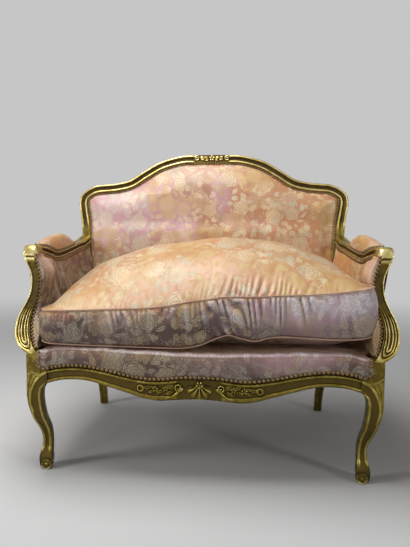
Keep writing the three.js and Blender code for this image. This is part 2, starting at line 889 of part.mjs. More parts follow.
function headTenon(clearance = 0) {
  const half = postTenonSide / 2 + clearance;
  return boxBetween(
    headTenonRoot.clone().add(vec(-half, -half, -cutOverrun)),
    headTenonRoot.clone().add(vec(half, half, postTenonLength + clearance)),
  );
}

function armRail() {
  const shares = [...stepsBetween(0, 0.84, 9), 0.87, 0.92, 0.96, 0.985, 1];
  return carved(skin(shares.map(armRing)), {
    joined: [armTenon()],
    cuts: [headTenon(jointClearance)],
  });
}

// Height, outer edge, width and sweep to the back of an arm support, as shares.
const postShares = [
  [0, -1.05, 0.8, 0],
  [0.05, -0.58, 1, 0.1],
  [0.1, -0.3, 1.1, 0.22],
  [0.18, -0.06, 1.16, 0.4],
  [0.27, 0, 1.1, 0.56],
  [0.38, -0.12, 1, 0.7],
  [0.5, -0.46, 0.82, 0.8],
  [0.62, -0.74, 0.66, 0.87],
  [0.74, -0.82, 0.6, 0.92],
  [0.85, -0.72, 0.62, 0.96],
  [0.94, -0.5, 0.7, 0.99],
  [1, -0.36, 0.75, 1],
];
// Section of an arm support: outwards from its inner side, back from its face.
const postSectionShares = [
  [0, 0.2],
  [0.18, 0.2],
  [0.2, 0.04],
  [0.27, 0],
  [0.38, 0.1],
  [0.5, 0.02],
  [0.62, 0.1],
  [0.76, 0.1],
  [0.9, 0],
  [1, 0.12],
  [1, 0.88],
  [0.92, 1],
  [0.08, 1],
  [0, 0.92],
];

function postPlace(s) {
  const [outer, wide, sweep] = smoothAt(postShares, s);
  const z = mix(legHeight + seatGap, armSeatZ - seatGap, s);
  return {
    outerX: postBulgeX + postWidth * outer,
    width: postWidth * wide,
    frontY: mix(postFrontY, postTopY, sweep),
    depth: postDepth * mix(1, 0.78, s),
    z,
  };
}

function postRing(s) {
  const { outerX, width, frontY, depth, z } = postPlace(s);
  return postSectionShares.map(([across, back]) =>
    vec(outerX - width * (1 - across), frontY + depth * back, z),
  );
}

function armSupport() {
  return carved(skin(steps(14).map(postRing)), { joined: [postTenon(), headTenon()] });
}

const cornerTop = railTop - beadHeight;
const cornerMiddleZ = cornerTop - cornerBlockHeight * 0.72;
const cornerGap = 2 * seatGap;

// Where a block's screw enters the leg or the rear rail, and the way from there into the seat.
function screwSeat(which) {
  if (which === "front") {
    return { seat: vec(legInnerX - cornerGap, legBackY + cornerGap, cornerMiddleZ), inward: vec(-1, 1, 0) };
  }
  const x = rearLegX - railThickness - cornerBlockReach * 0.4;
  return { seat: vec(x, rearRailFrontY - cornerGap, cornerMiddleZ), inward: vec(0, -1, 0) };
}

function screwLine(which) {
  const { seat, inward } = screwSeat(which);
  inward.normalize();
  const tip = seat.addScaledVector(inward, -screwLength * 0.35);
  return { tip, inward, at: (reach) => tip.clone().addScaledVector(inward, reach) };
}

function screwHole(which) {
  const line = screwLine(which);
  return rod(line.at(-cutOverrun), line.at(screwLength), screwRadius + jointClearance, 8);
}

function cornerScrew(which) {
  const { tip, inward } = screwLine(which);
  const profile = [
    [0, 0],
    [screwRadius * 0.4, 0],
    [screwRadius, screwRadius * 2],
    [screwRadius, screwLength - screwHeadDepth],
    [screwHeadRadius, screwLength],
    [0, screwLength],
  ].map(([r, z]) => new THREE.Vector2(r, z));
  const turn = new THREE.Quaternion().setFromUnitVectors(vec(0, 1, 0), inward);
  return new THREE.LatheGeometry(profile, 8).applyQuaternion(turn).translate(tip.x, tip.y, tip.z);
}

function cornerOutline(which) {
  if (which === "front") {
    const reachX = legInnerX - cornerBlockReach;
    const reachY = legBackY + cornerBlockReach;
    return [
      [reachX, frontFaceY(reachX) + railThickness + cornerGap],
      [legInnerX - cornerGap, frontFaceY(legInnerX) + railThickness + cornerGap],
      [legInnerX - cornerGap, legBackY + cornerGap],
      [sideFaceX(legBackY) - railThickness - cornerGap, legBackY + cornerGap],
      [sideFaceX(reachY) - railThickness - cornerGap, reachY],
    ];
  }
  const innerX = rearLegX - railThickness - cornerGap;
  return [
    [innerX - cornerBlockReach, rearRailFrontY - cornerGap],
    [innerX, rearRailFrontY - cornerGap],
    [innerX, rearLegFrontY],
    [
      sideFaceX(rearLegFrontY - cornerBlockReach) - railThickness - cornerGap,
      rearLegFrontY - cornerBlockReach,
    ],
  ];
}

function cornerBlock(which) {
  const rings = [cornerTop - cornerBlockHeight, cornerTop].map((z) =>
    cornerOutline(which).map(([x, y]) => vec(x, y, z)),
  );
  const line = screwLine(which);
  const counterbore = rod(
    line.at(screwLength - screwHeadDepth - jointClearance),
    line.at(screwLength + cornerBlockReach),
    screwHeadRadius + jointClearance,
    10,
  );
  return carved(skin(rings), { cuts: [screwHole(which), counterbore] });
}

// Webbing with its straps sewn where they cross

function seatWebbing() {
  const top = webbingLedge - seatGap;
  const strap = (x0, x1, y0, y1) => boxBetween(vec(x0, y0, top - webThickness), vec(x1, y1, top));
  const columnPitch = (2 * (legInnerX - webWidth)) / (webColumns - 1);
  const lengthways = steps(webColumns - 1).map((s) => {
    const x = columnPitch * (webColumns - 1) * (s - 0.5);
    const start = frontFaceY(x) + railThickness - webLap;
    return strap(x - webWidth / 2, x + webWidth / 2, start, rearRailFrontY + webLap);
  });
  const crossways = stepsBetween(legBackY + webWidth, rearLegFrontY - webWidth, webRows - 1).map((y) => {
    const reach = Math.min(sideFaceX(y - webWidth), sideFaceX(y + webWidth)) - railThickness + webLap;
    return strap(-reach, reach, y - webWidth / 2, y + webWidth / 2);
  });
  const [first, ...others] = [...lengthways, ...crossways];
  return carved(first, { joined: others });
}

// 1 at the middle of the seat, 0 along its edges.
function deckShare(x, y) {
  const middleY = (kneeFrontY + rearLegFrontY) / 2;
  const across = Math.min(Math.abs(x / railFaceX), 1) ** 2.6;
  const along = Math.min(Math.abs((y - middleY) / (rearLegFrontY - middleY)), 1) ** 2.6;
  return (1 - across) * (1 - along);
}

const canvasTop = (x, y) => railTop + seatGap + canvasThickness + canvasRise * deckShare(x, y);
const deckTop = (x, y) => deckEdge + deckRise * deckShare(x, y);

function springPath(x, y) {
  const foot = webbingLedge - seatGap + clothGap + springWireRadius;
  const head = canvasTop(x, y) - canvasThickness - 3 * clothGap - springWireRadius;
  const stepsPerTurn = 8;
  return steps(springTurns * stepsPerTurn).map((s) => {
    const angle = 2 * Math.PI * springTurns * s;
    const radius = mix(springRadius, springWaistRadius, Math.sin(Math.PI * s) ** 2);
    return vec(x + radius * Math.cos(angle), y + radius * Math.sin(angle), mix(foot, head, s));
  });
}

// Least distance from surface to surface between turns of the wire.
function leastSelfGap(path) {
  const halfTurn = 4;
  let least = Infinity;
  path.forEach((p, i) => {
    path.slice(i + halfTurn).forEach((q) => {
      least = Math.min(least, p.distanceTo(q) - 2 * springWireRadius);
    });
  });
  return least;
}

// The seat's plan. It passes between the arm supports and then widens over the side rails.
const supportBackY = postFrontY + postDepth * 1.25;
const deckHalfWidth = (y) =>
  mix(
    clothRebateX - clothGap,
    sideFaceX(y) - tackingRecess - clothGap,
    ease(y, supportBackY, supportBackY + blockSide / 3),
  );
const deckEndY = (x) =>
  mix(
    rearRailFrontY + webLap,
    rearLegFrontY - clothGap,
    ease(Math.abs(x), rearLegInnerX - blockSide / 3, rearLegInnerX - cutOverrun),
  );

function deckPlan(u, v) {
  const y = mix(frontFaceY(u * clothRebateX) + deckFrontDepth, rearLegFrontY - clothGap, v);
  const x = u * deckHalfWidth(y);
  return vec(x, y + (deckEndY(x) - rearLegFrontY + clothGap) * v ** 8, 0);
}

const deckColumnShares = [-1, -0.95, -0.82, -0.68, -0.52, -0.26, 0, 0.26, 0.52, 0.68, 0.82, 0.95, 1];
const deckDepthShares = [0, 0.07, 0.13, 0.17, 0.3, 0.5, 0.7, 0.87, 1];
// The front edge's roll: back from its foremost line, and height from the nail line to the top.
const deckFrontShares = [
  [0.4, 0],
  [0, 0.6],
  [0.15, 0.86],
  [0.5, 0.97],
];

// Outer face of the seat's cover, from the nail line at the front to the back.
function deckFace() {
  const frontRows = deckFrontShares.map(([back, up]) =>
    deckColumnShares.map((u) => {
      const x = u * (clothRebateX - clothGap);
      const nailLine = frontRailEdges(x)[1] + nailLineGap;
      return vec(x, frontFaceY(x) + deckFrontDepth * back, mix(nailLine, deckTop(x, kneeFrontY), up));
    }),
  );
  const topRows = gridOf(deckDepthShares, deckColumnShares, (u, v) => {
    const p = deckPlan(u, v);
    return p.setZ(deckTop(p.x, p.y));
  });
  return [...frontRows, ...topRows];
}

// Room for the front legs' blocks.
function legClearances() {
  const body = boxBetween(
    vec(legInnerX - clothGap, kneeFrontY + railSetback + tackingRecess - clothGap, webbingLedge),
    vec(kneeX + cutOverrun, legBackY + clothGap, legHeight + clothGap),
  );
  return bothSides(body);
}

function deckCover() {
  const face = deckFace();
  return carved(slab(face, offsetGrid(face, -clothThickness)), { cuts: legClearances() });
}

function deckStuffing() {
  const face = offsetGrid(deckFace(), -clothThickness - clothGap);
  const under = railTop + seatGap + canvasThickness + clothGap;
  const frontCount = deckFrontShares.length;
  const back = face.map((row, r) =>
    row.map((p) => {
      const tackedY = frontFaceY(p.x) + tackingRecess - 2 * clothGap;
      if (r < 2) return vec(p.x, tackedY, Math.min(p.z, railTop - cutOverrun));
      if (r < frontCount) return vec(p.x, tackedY + (r - 2) * clothGap, under);
      const y = Math.max(p.y, tackedY + cutOverrun * (r - frontCount + 1));
      return vec(p.x, y, canvasTop(p.x, y) + clothGap);
    }),
  );
  return carved(slab(face, back), { cuts: legClearances() });
}

function springCanvas() {
  const rows = [0.04, 0.13, 0.2, 0.45, 0.7, 0.9, 1];
  const columns = stepsBetween(-0.98, 0.98, 6);
  const top = gridOf(rows, columns, (u, v) => {
    const p = deckPlan(u, v);
    return p.setZ(canvasTop(p.x, p.y));
  });
  const under = top.map((row) => row.map((p) => vec(p.x, p.y, p.z - canvasThickness)));
  return carved(slab(top, under), { cuts: legClearances() });
}

// Arm upholstery

const armFootZ = deckTop(railFaceX - armPadFace - 2 * armPadSwell, 0) + 2 * clothGap;
const armShareAt = (y) => {
  const rearY = backY(armRearX, armRearZ);
  return THREE.MathUtils.clamp((y - rearY) / (armFrontY - rearY), 0, 1);
};
const armGiltEdge = (y) => armMiddle(armShareAt(y)).z - armGilt - nailLineGap;
const armWoodEdge = (y) => {
  const s = armShareAt(y);
  return Math.min(armMiddle(s).z - armGilt * 1.4, s > armSeatShare ? armSeatZ : Infinity) - nailLineGap;
};
const postAt = (z) => {
  const share = THREE.MathUtils.clamp((z - legHeight) / (armSeatZ - legHeight), 0, 1);
  const { outerX, width, frontY, depth } = postPlace(share);
  return { innerX: outerX - width, width, frontY, depth, backY: frontY + depth };
};
const stileFrontY = (z) => Math.min(backY(rearLegX, z), backY(armFrontX, z)) - 2 * clothGap;

const armRowShares = [0, 0.1, 0.22, 0.36, 0.5, 0.64, 0.8, 1];
const armColumnShares = [0, 0.06, 0.2, 0.34, 0.48, 0.62, 0.76, 0.89, 1];

// A point between the arm's support and the stile, at a share of its length and its height.
function armPoint(u, v, footOf, headOf, xOf) {
  const roughZ = mix(armFootZ, armSeatZ, v);
  const roughY = mix(postAt(roughZ).backY, stileFrontY(roughZ), u);
  const z = mix(footOf(roughY), headOf(roughY), v);
  const y = mix(Math.max(postAt(z).backY, legBackY) + nailLineGap, stileFrontY(z), u);
  return vec(xOf(y, z), y, z);
}

const armInsideX = (y, z) => {
  const v = THREE.MathUtils.clamp((z - armFootZ) / (armGiltEdge(y) - armFootZ), 0, 1);
  const headX = armMiddle(armShareAt(y)).x - armWidth / 2 + cutOverrun;
  const padX = mix(sideFaceX(y) - armPadFace, headX, v) - armPadSwell * Math.sin(Math.PI * v);
  const post = postAt(z);
  const besidePost = Math.min(padX, post.innerX - clothThickness - nailLineGap);
  return mix(besidePost, padX, ease(y, post.backY + nailLineGap, post.backY + 2 * postDepth));
};
const armOutsideX = (y, z) => {
  const v = THREE.MathUtils.clamp((z - railTop) / (armGiltEdge(y) - railTop), 0, 1);
  const headX = armMiddle(armShareAt(y)).x + armWidth / 2 - cutOverrun;
  return mix(sideFaceX(y) - tackingRecess + clothThickness + 2 * clothGap, headX, v);
};
const onDeck = () => armFootZ;
const onSideRail = (y) => {
  const s = THREE.MathUtils.clamp((y - legBackY) / (rearLegFrontY - legBackY), 0, 1);
  return railTop * smoothAt(sideRailShares, s)[1] + nailLineGap;
};

function armInside(headOf) {
  return gridOf(armRowShares, armColumnShares, (u, v) => armPoint(u, v, onDeck, headOf, armInsideX));
}

// The cover is nailed in the support's rebate, turns round the support and runs back to the stile.
function insideArmCover() {
  const face = armInside(armGiltEdge).map((inside) => {
    const { innerX, width, frontY, depth } = postAt(inside[0].z);
    const lapX = Math.min(innerX - clothThickness - nailLineGap, inside[0].x);
    const lapY = frontY + depth * postSectionShares[0][1] - clothThickness - nailLineGap / 2;
    const lap = [
      [innerX + width * 0.1, lapY],
      [lapX + clothThickness / 2, lapY],
      [lapX, lapY + depth * 0.14],
    ];
    return [...lap.map(([x, y]) => vec(x, y, inside[0].z)), ...inside];
  });
  return slab(face, offsetGrid(face, clothThickness));
}

function armStuffing() {
  const face = offsetGrid(armInside(armWoodEdge), clothThickness + nailLineGap);
  const back = face.map((row) =>
    row.map((p) => vec(armOutsideX(p.y, p.z) - clothThickness - armStuffingInset, p.y, p.z)),
  );
  return slab(face, back);
}

function outsideArmCover() {
  const face = gridOf(armRowShares, armColumnShares, (u, v) =>
    armPoint(u, v, onSideRail, armGiltEdge, armOutsideX),
  );
  return slab(face, offsetGrid(face, clothThickness * -1));
}

// Manchettes

const manchetteRowShares = [0, 0.05, 0.16, 0.32, 0.5, 0.68, 0.84, 0.95, 1];
// Share of the way to the back, height above the arm rail.
const manchetteHeightShares = [
  [0, 0.06],
  [0.08, 0.24],
  [0.18, 0.5],
  [0.33, 0.86],
  [0.5, 1],
  [0.65, 0.95],
  [0.8, 0.66],
  [0.92, 0.3],
  [1, 0.06],
];

function manchetteFace() {
  const columns = steps(6);
  return gridOf(manchetteRowShares, columns, (u, v) => {
    const y = manchetteMiddleY + manchetteLength * (v - 0.5);
    const middle = armMiddle(armShareAt(y));
    const base = middle.z + armGilt * 0.08 + clothGap;
    const rise = manchetteHeight * smoothAt(manchetteHeightShares, v)[0];
    const plan = Math.max(1 - Math.abs(2 * v - 1) ** 5, 0.12) ** 0.5;
    const angle = Math.PI * (1 - u);
    return vec(
      middle.x + (manchetteWidth / 2) * plan * Math.sign(Math.cos(angle)) * Math.abs(Math.cos(angle)) ** 0.75,
      y,
      base + Math.max(rise * Math.sin(angle) ** 0.8, seatGap * 2),
    );
  });
}

function manchetteCover() {
  const face = manchetteFace();
  return slab(face, offsetGrid(face, -clothThickness / 2));
}

function manchetteStuffing() {
  const face = offsetGrid(manchetteFace(), -clothThickness / 2 - clothGap).slice(1, -1);
  const rows = face.map((row) => row.slice(1, -1));
  const base = rows.map((row) =>
    row.map((p) => vec(p.x, p.y, armMiddle(armShareAt(p.y)).z + armGilt * 0.08 + 3 * clothGap)),
  );
  return slab(rows, base);
}

// Back upholstery

const backPlaces = [
  placeOfHeight(backPadFoot), 7, 9, 10, 11.2, 12.2, 13, 14, 15, 16, 17.2, 18.6, 20, 21.4, 22.6,
];
const backColumnShares = [-1, -0.88, -0.6, -0.3, 0, 0.3, 0.6, 0.88, 1];
const plainColumnShares = [-1, -0.55, 0, 0.55, 1];
const outsidePlaces = [placeOfHeight(outsideBackFoot), 6, 8, 10, ...backPlaces.slice(4)];
const rebateShare = stileSectionShares[8][1];

// A grid inside the back frame: across is how far over the frame's width it reaches, and
// floor is the depth there of the rebate that the cloth is nailed in.
function backGrid(columns, across, yOf, places = backPlaces) {
  return places.map((place) => {
    const edge = backRing(place, [[across, 0]])[0];
    const floor = backMemberDepth * rebateShare * Math.max(smoothAt(stileShares, place)[2], 0);
    const meetsArm = edge.z < armRearZ + nailLineGap && across > 0.5;
    const besideArm = meetsArm ? armInsideX(stileFrontY(edge.z), edge.z) - nailLineGap : Infinity;
    const half = Math.min(edge.x, besideArm);
    return columns.map((u) => vec(half * u, yOf(half * u, edge.z, floor, u), edge.z));
  });
}

function backFace() {
  const top = backHeight - backMemberWidth;
  return backGrid(backColumnShares, 0.9, (x, z, floor, u) => {
    const w = THREE.MathUtils.clamp((z - backPadFoot) / (top - backPadFoot), 0, 1);
    const plump = (1 - Math.abs(u) ** 3.2) * (1 - Math.abs(2 * w - 1) ** 3.2) ** 0.7;
    return backY(x, z) + floor - backPadBody - backPadSwell * plump;
  });
}

function insideBackCover() {
  const face = backFace();
  return slab(face, offsetGrid(face, -clothThickness));
}

function backStuffing() {
  const face = offsetGrid(backFace(), -clothThickness - clothGap);
  const base = backGrid(
    backColumnShares,
    0.94,
    (x, z, floor) => backY(x, z) + floor - canvasThickness - 2 * canvasRoom,
  );
  return slab(face, base);
}

function backCanvas() {
  const at = (depth) =>
    backGrid(plainColumnShares, 0.98, (x, z, floor) => backY(x, z) + floor + depth);
  return slab(at(-canvasThickness - canvasRoom), at(-canvasRoom));
}

function outsideBackCover() {
  const at = (depth) =>
    backGrid(plainColumnShares, 0.5, (x, z) => backY(x, z) + rearLegDepth + depth, outsidePlaces);
  return slab(at(nailLineGap / 2), at(nailLineGap / 2 + clothThickness));
}

// Seat cushion

const cushionRestZ = deckTop(0, 0) + 4 * clothGap;
const cushionMiddleY = (cushionFrontY + cushionRearY) / 2;

// The cushion's outline: points with the way out of it, from the front right corner round.
function cushionOutline() {
  const corner = (x, y, turns) =>
    steps(4).map((s) => {
      const angle = ((turns + s) * Math.PI) / 2;
      const out = new THREE.Vector2(Math.cos(angle), Math.sin(angle));
      return { at: new THREE.Vector2(x, y).addScaledVector(out, cushionCorner), out };
    });
  const frontX = cushionHalfWidth - cushionCorner;
  const rearX = frontX - cushionTaper;
  const corners = [
    corner(frontX, cushionFrontY + cushionCorner, -1),
    corner(rearX, cushionRearY - cushionCorner, 0),
    corner(-rearX, cushionRearY - cushionCorner, 1),
    corner(-frontX, cushionFrontY + cushionCorner, 2),
  ];
  return corners.flatMap((points, i) => {
    const from = points.at(-1);
    const to = corners[(i + 1) % corners.length][0];
    const side = steps(i % 2 ? 6 : 4).slice(1, -1).map((s) => ({
      at: from.at.clone().lerp(to.at, s).addScaledVector(from.out, -cushionPinch * Math.sin(Math.PI * s)),
      out: from.out,
    }));
    return [...points, ...side];
  });
}

const outline = cushionOutline();

const cushionTilt = (x, y) => {
  const toBack = (y - cushionFrontY) / (cushionRearY - cushionFrontY);
  const across = Math.sin((Math.PI / 2) * THREE.MathUtils.clamp(x / cushionHalfWidth, -1, 1));
  return (cushionLean / 2) * across * mix(1, 0.35, toBack);
};

function cushionRing(share, height, inset, bulge = 0) {
  return outline.map(({ at, out }) => {
    const p = at.clone().addScaledVector(out, bulge - inset);
    const x = p.x * share;
    const y = mix(cushionMiddleY, p.y, share);
    return vec(x, y, height(x, y));
  });
}

// Rings from the middle of the underside, over the two seams, to the middle of the top.
function cushionBody(inset) {
  const lowerShares = [0.4, 0.75, 0.93];
  const upperShares = [0.94, 0.8, 0.58, 0.3];
  const low = (share) => (x, y) =>
    cushionRestZ + inset + cushionEdgeRise * share ** 5 + cushionTilt(x, y) * 0.85 * share ** 5;
  const side = (up) => (x, y) =>
    mix(
      cushionRestZ + inset + cushionEdgeRise + cushionTilt(x, y) * 0.85,
      cushionRestZ + cushionEdgeRise + cushionBoxing - inset + cushionTilt(x, y) * 1.15,
      up,
    );
  const dome = (distance, half) => 1 - Math.min(Math.abs(distance) / half, 1) ** 2.4;
  const halfLength = (cushionRearY - cushionFrontY) / 2;
  const high = (x, y) =>
    side(1)(x, y) + cushionCrown * dome(x, cushionHalfWidth) * dome(y - cushionMiddleY, halfLength);
  const rings = [
    ...lowerShares.map((share) => cushionRing(share, low(share), inset)),
    cushionRing(1, side(0), inset),
    cushionRing(1, side(0.3), inset, cushionBulge * 0.85),
    cushionRing(1, side(0.6), inset, cushionBulge),
    cushionRing(1, side(1), inset),
    ...upperShares.map((share) => cushionRing(share, high, inset)),
  ];
  return skin(rings, {
    startPole: vec(0, cushionMiddleY, low(0)(0, cushionMiddleY)),
    endPole: vec(0, cushionMiddleY, high(0, cushionMiddleY)),
  });
}

function cushionCover() {
  const slitZ = cushionRestZ + cushionEdgeRise + cushionBoxing / 2;
  const slit = boxBetween(
    vec(-coverSlitWidth / 2, cushionRearY - cushionCorner, slitZ - coverSlitHeight / 2),
    vec(coverSlitWidth / 2, cushionRearY + cushionCorner, slitZ + coverSlitHeight / 2),
  );
  return carved(cushionBody(0), { cuts: [cushionBody(clothThickness), slit] });
}

function cushionPiping(up) {
  const proud = -pipingRadius - 2 * clothGap;
  const foot = cushionRestZ + cushionEdgeRise;
  const height = (x, y) => foot + cushionBoxing * up + cushionTilt(x, y) * mix(0.85, 1.15, up);
  return tube(cushionRing(1, height, proud), () => pipingRadius, 4, vec(0, 0, 1), true);
}

pair(frame, "front_leg", frontLeg(), gilt);
pair(frame, "rear_leg_and_stile", rearLeg(), gilt);
piece(frame, "front_rail", frontRail(), gilt);
pair(frame, "side_rail", sideRail(), gilt);
piece(frame, "rear_rail", rearRail(), gilt);
piece(frame, "crest_rail", crestRail(), gilt);
piece(frame, "lower_back_rail", lowerBackRail(), beech);
pair(frame, "arm_rail", armRail(), gilt);
pair(frame, "arm_support", armSupport(), gilt);
pair(frame, "corner_block_front", cornerBlock("front"), beech);
pair(frame, "corner_block_rear", cornerBlock("rear"), beech);
pair(frame, "corner_screw_front", cornerScrew("front"), steel);
pair(frame, "corner_screw_rear", cornerScrew("rear"), steel);
pair(frame, "crest_dowel", crestDowel(), beech);

piece(upholstery, "seat_webbing", seatWebbing(), jute);
const springRowsY = stepsBetween(legBackY + webWidth, rearLegFrontY - webWidth, springRows - 1);
let springNumber = 0;
let springGap = Infinity;
for (const y of springRowsY) {
  for (const across of stepsBetween(-1, 1, springColumns - 1)) {
    springNumber += 1;
    const path = springPath(across * springSpread, y);
    springGap = Math.min(springGap, leastSelfGap(path));
    const coil = tube(path, () => springWireRadius, 5, vec(0, 0, 1));
    piece(upholstery, `seat_spring_${springNumber}`, coil, steel);
  }
}
console.log(`least gap between turns of a spring: ${springGap.toFixed(2)} mm`);
piece(upholstery, "spring_canvas", springCanvas(), jute);
piece(upholstery, "deck_stuffing", deckStuffing(), hair);
piece(upholstery, "deck_cover", deckCover(), silk);
pair(upholstery, "arm_stuffing", armStuffing(), hair);
pair(upholstery, "inside_arm_cover", insideArmCover(), silk);
pair(upholstery, "outside_arm_cover", outsideArmCover(), silk);
pair(upholstery, "manchette_stuffing", manchetteStuffing(), hair);
pair(upholstery, "manchette_cover", manchetteCover(), silk);
piece(upholstery, "back_canvas", backCanvas(), jute);
piece(upholstery, "back_stuffing", backStuffing(), hair);
piece(upholstery, "inside_back_cover", insideBackCover(), silk);
piece(upholstery, "outside_back_cover", outsideBackCover(), silk);
piece(looseCushion, "cushion_filling", cushionBody(clothThickness + clothGap), down);
piece(looseCushion, "cushion_cover", cushionCover(), silk);
piece(looseCushion, "cushion_piping_bottom", cushionPiping(0), silk);
piece(looseCushion, "cushion_piping_top", cushionPiping(1), silk);

export default chair;
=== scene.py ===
"""Looks of a wide bergere in the Louis XV manner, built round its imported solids.

Carved and gilded beech, a sprung seat with a loose feather cushion, and a floral silk brocade
that is nailed along the gilt edges. Metres; +X is right, +Y is towards the back, +Z is up.
"""

import logging
import math
from dataclasses import dataclass, field
from enum import Enum
from typing import Callable, Sequence

import bpy
import numpy as np
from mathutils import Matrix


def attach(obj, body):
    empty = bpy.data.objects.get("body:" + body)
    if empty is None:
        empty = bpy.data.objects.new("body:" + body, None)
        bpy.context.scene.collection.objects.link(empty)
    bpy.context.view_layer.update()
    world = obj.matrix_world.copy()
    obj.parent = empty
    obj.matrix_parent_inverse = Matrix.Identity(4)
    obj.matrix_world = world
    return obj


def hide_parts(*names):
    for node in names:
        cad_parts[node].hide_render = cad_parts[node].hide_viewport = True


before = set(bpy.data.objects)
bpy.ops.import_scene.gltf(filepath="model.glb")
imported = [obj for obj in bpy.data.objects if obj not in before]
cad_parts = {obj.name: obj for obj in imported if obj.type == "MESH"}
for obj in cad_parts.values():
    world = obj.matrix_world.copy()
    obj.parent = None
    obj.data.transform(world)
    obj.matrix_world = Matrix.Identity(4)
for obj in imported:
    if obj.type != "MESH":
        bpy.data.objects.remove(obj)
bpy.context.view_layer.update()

logging.basicConfig(level=logging.INFO, format="%(message)s")
log = logging.getLogger("bergere")

Array = np.ndarray
TAU = 2 * math.pi
SEED = 1750


class Body(Enum):
    """The two bodies that pieces ride on."""

    FRAME = "frame"
    CUSHION = "seat_cushion"


class Slot(Enum):
    """The record's material slots that pieces take their finish from."""

    GILT = "gilt_wood"
    BEECH = "beech"
    SILK = "silk_brocade"
    PIPING = "silk_piping"
    JUTE = "jute"
    STEEL = "spring_steel"
    SCREW = "screw_steel"


# Numbers


def ease(value: Array, start: float, end: float) -> Array:
    """A smooth step from 0 at start to 1 at end."""
    t = np.clip((value - start) / (end - start), 0, 1)
    return t * t * (3 - 2 * t)


def mix(a: Array, b: Array, share: Array) -> Array:
    """The value that lies a share of the way from a to b."""
    return a + (b - a) * share


def points(x: Array, y: Array, z: Array) -> Array:
    """Three coordinates, spread to one shape, as points."""
    return np.stack(np.broadcast_arrays(x, y, z), axis=-1).astype(float)


def smooth_at(table: Sequence[Sequence[float]], place: Array) -> Array:
    """Smooth values of a table whose first column is the place along it.

    Args:
        table: Rows of a place and the values there.
        place: Places to read.

    Returns:
        One row of values for each place, last axis first.
    """
    rows = np.asarray(table, float)
    knots, values = rows[:, 0], rows[:, 1:]
    last = len(rows) - 1
    place = np.asarray(place, float)
    i = np.clip(np.searchsorted(knots, place, side="left") - 1, 0, last - 1)
    before, after = np.maximum(np.arange(last + 1) - 1, 0), np.minimum(np.arange(last + 1) + 1, last)
    slopes = (values[after] - values[before]) / (knots[after] - knots[before])[:, None]
    span = (knots[i + 1] - knots[i])[..., None]
    f = np.clip((place[..., None] - knots[i][..., None]) / span, 0, 1)
    out = (
        values[i] * (2 * f**3 - 3 * f**2 + 1)
        + values[i + 1] * (3 * f**2 - 2 * f**3)
        + span * slopes[i] * (f**3 - 2 * f**2 + f)
        + span * slopes[i + 1] * (f**3 - f**2)
    )
    return np.moveaxis(out, -1, 0)


def lengths(line: Array) -> Array:
    """Distance along a line of points, from its first point."""
    steps = np.linalg.norm(np.diff(line, axis=0), axis=-1)
    return np.concatenate([[0.0], np.cumsum(steps)])


def even_line(line: Array, count: int) -> Array:
    """A line of points read again at even distances."""
    along = lengths(line)
    want = np.linspace(0, along[-1], count)
    return np.stack([np.interp(want, along, line[:, k]) for k in range(line.shape[1])], axis=-1)


def to_line(spot_x: Array, spot_y: Array, line: Array) -> tuple[Array, Array]:
    """Distance of flat spots to a line, and the share of its length that they are nearest to.

    Args:
        spot_x: First coordinate of the spots.
        spot_y: Second coordinate of the spots.
        line: Points of the line.

    Returns:
        The distances and the shares, in the spots' shape.
    """
    best = np.full(np.shape(spot_x), np.inf)
    share = np.zeros_like(best)
    along = lengths(line)
    for k in range(len(line) - 1):
        a, d = line[k], line[k + 1] - line[k]
        t = ((spot_x - a[0]) * d[0] + (spot_y - a[1]) * d[1]) / max(d @ d, 1e-12)
        t = np.clip(t, 0, 1)
        gap = np.hypot(spot_x - a[0] - t * d[0], spot_y - a[1] - t * d[1])
        near = gap < best
        best = np.where(near, gap, best)
        share = np.where(near, (along[k] + t * math.sqrt(d @ d)) / along[-1], share)
    return best, share


# Meshes


def deselect_all() -> None:
    """Leaves edit mode and deselects everything."""
    if bpy.context.object and bpy.context.object.mode != "OBJECT":
        bpy.ops.object.mode_set(mode="OBJECT")
    bpy.ops.object.select_all(action="DESELECT")


def work_on(piece: bpy.types.Object) -> None:
    """Makes one piece the selected and active one."""
    deselect_all()
    piece.select_set(True)
    bpy.context.view_layer.objects.active = piece


def set_values(piece: bpy.types.Object, name: str, values: Array) -> None:
    """Stores one number for each point of a piece under a name that materials can read."""
    mesh = piece.data
    layer = mesh.attributes.get(name) or mesh.attributes.new(name, "FLOAT", "POINT")
    layer.data.foreach_set("value", np.asarray(values, np.float32).ravel())


def places_of(piece: bpy.types.Object) -> Array:
    """The points of a piece, one row each."""
    flat = np.empty(len(piece.data.vertices) * 3)
    piece.data.vertices.foreach_get("co", flat)
    return flat.reshape(-1, 3)


def put_places(piece: bpy.types.Object, spots: Array) -> None:
    """Moves the points of a piece."""
    piece.data.vertices.foreach_set("co", np.ascontiguousarray(spots, float).ravel())
    piece.data.update()


def normals_of(piece: bpy.types.Object) -> Array:
    """The outward directions at the points of a piece."""
    flat = np.empty(len(piece.data.vertices) * 3)
    piece.data.vertices.foreach_get("normal", flat)
    return flat.reshape(-1, 3)


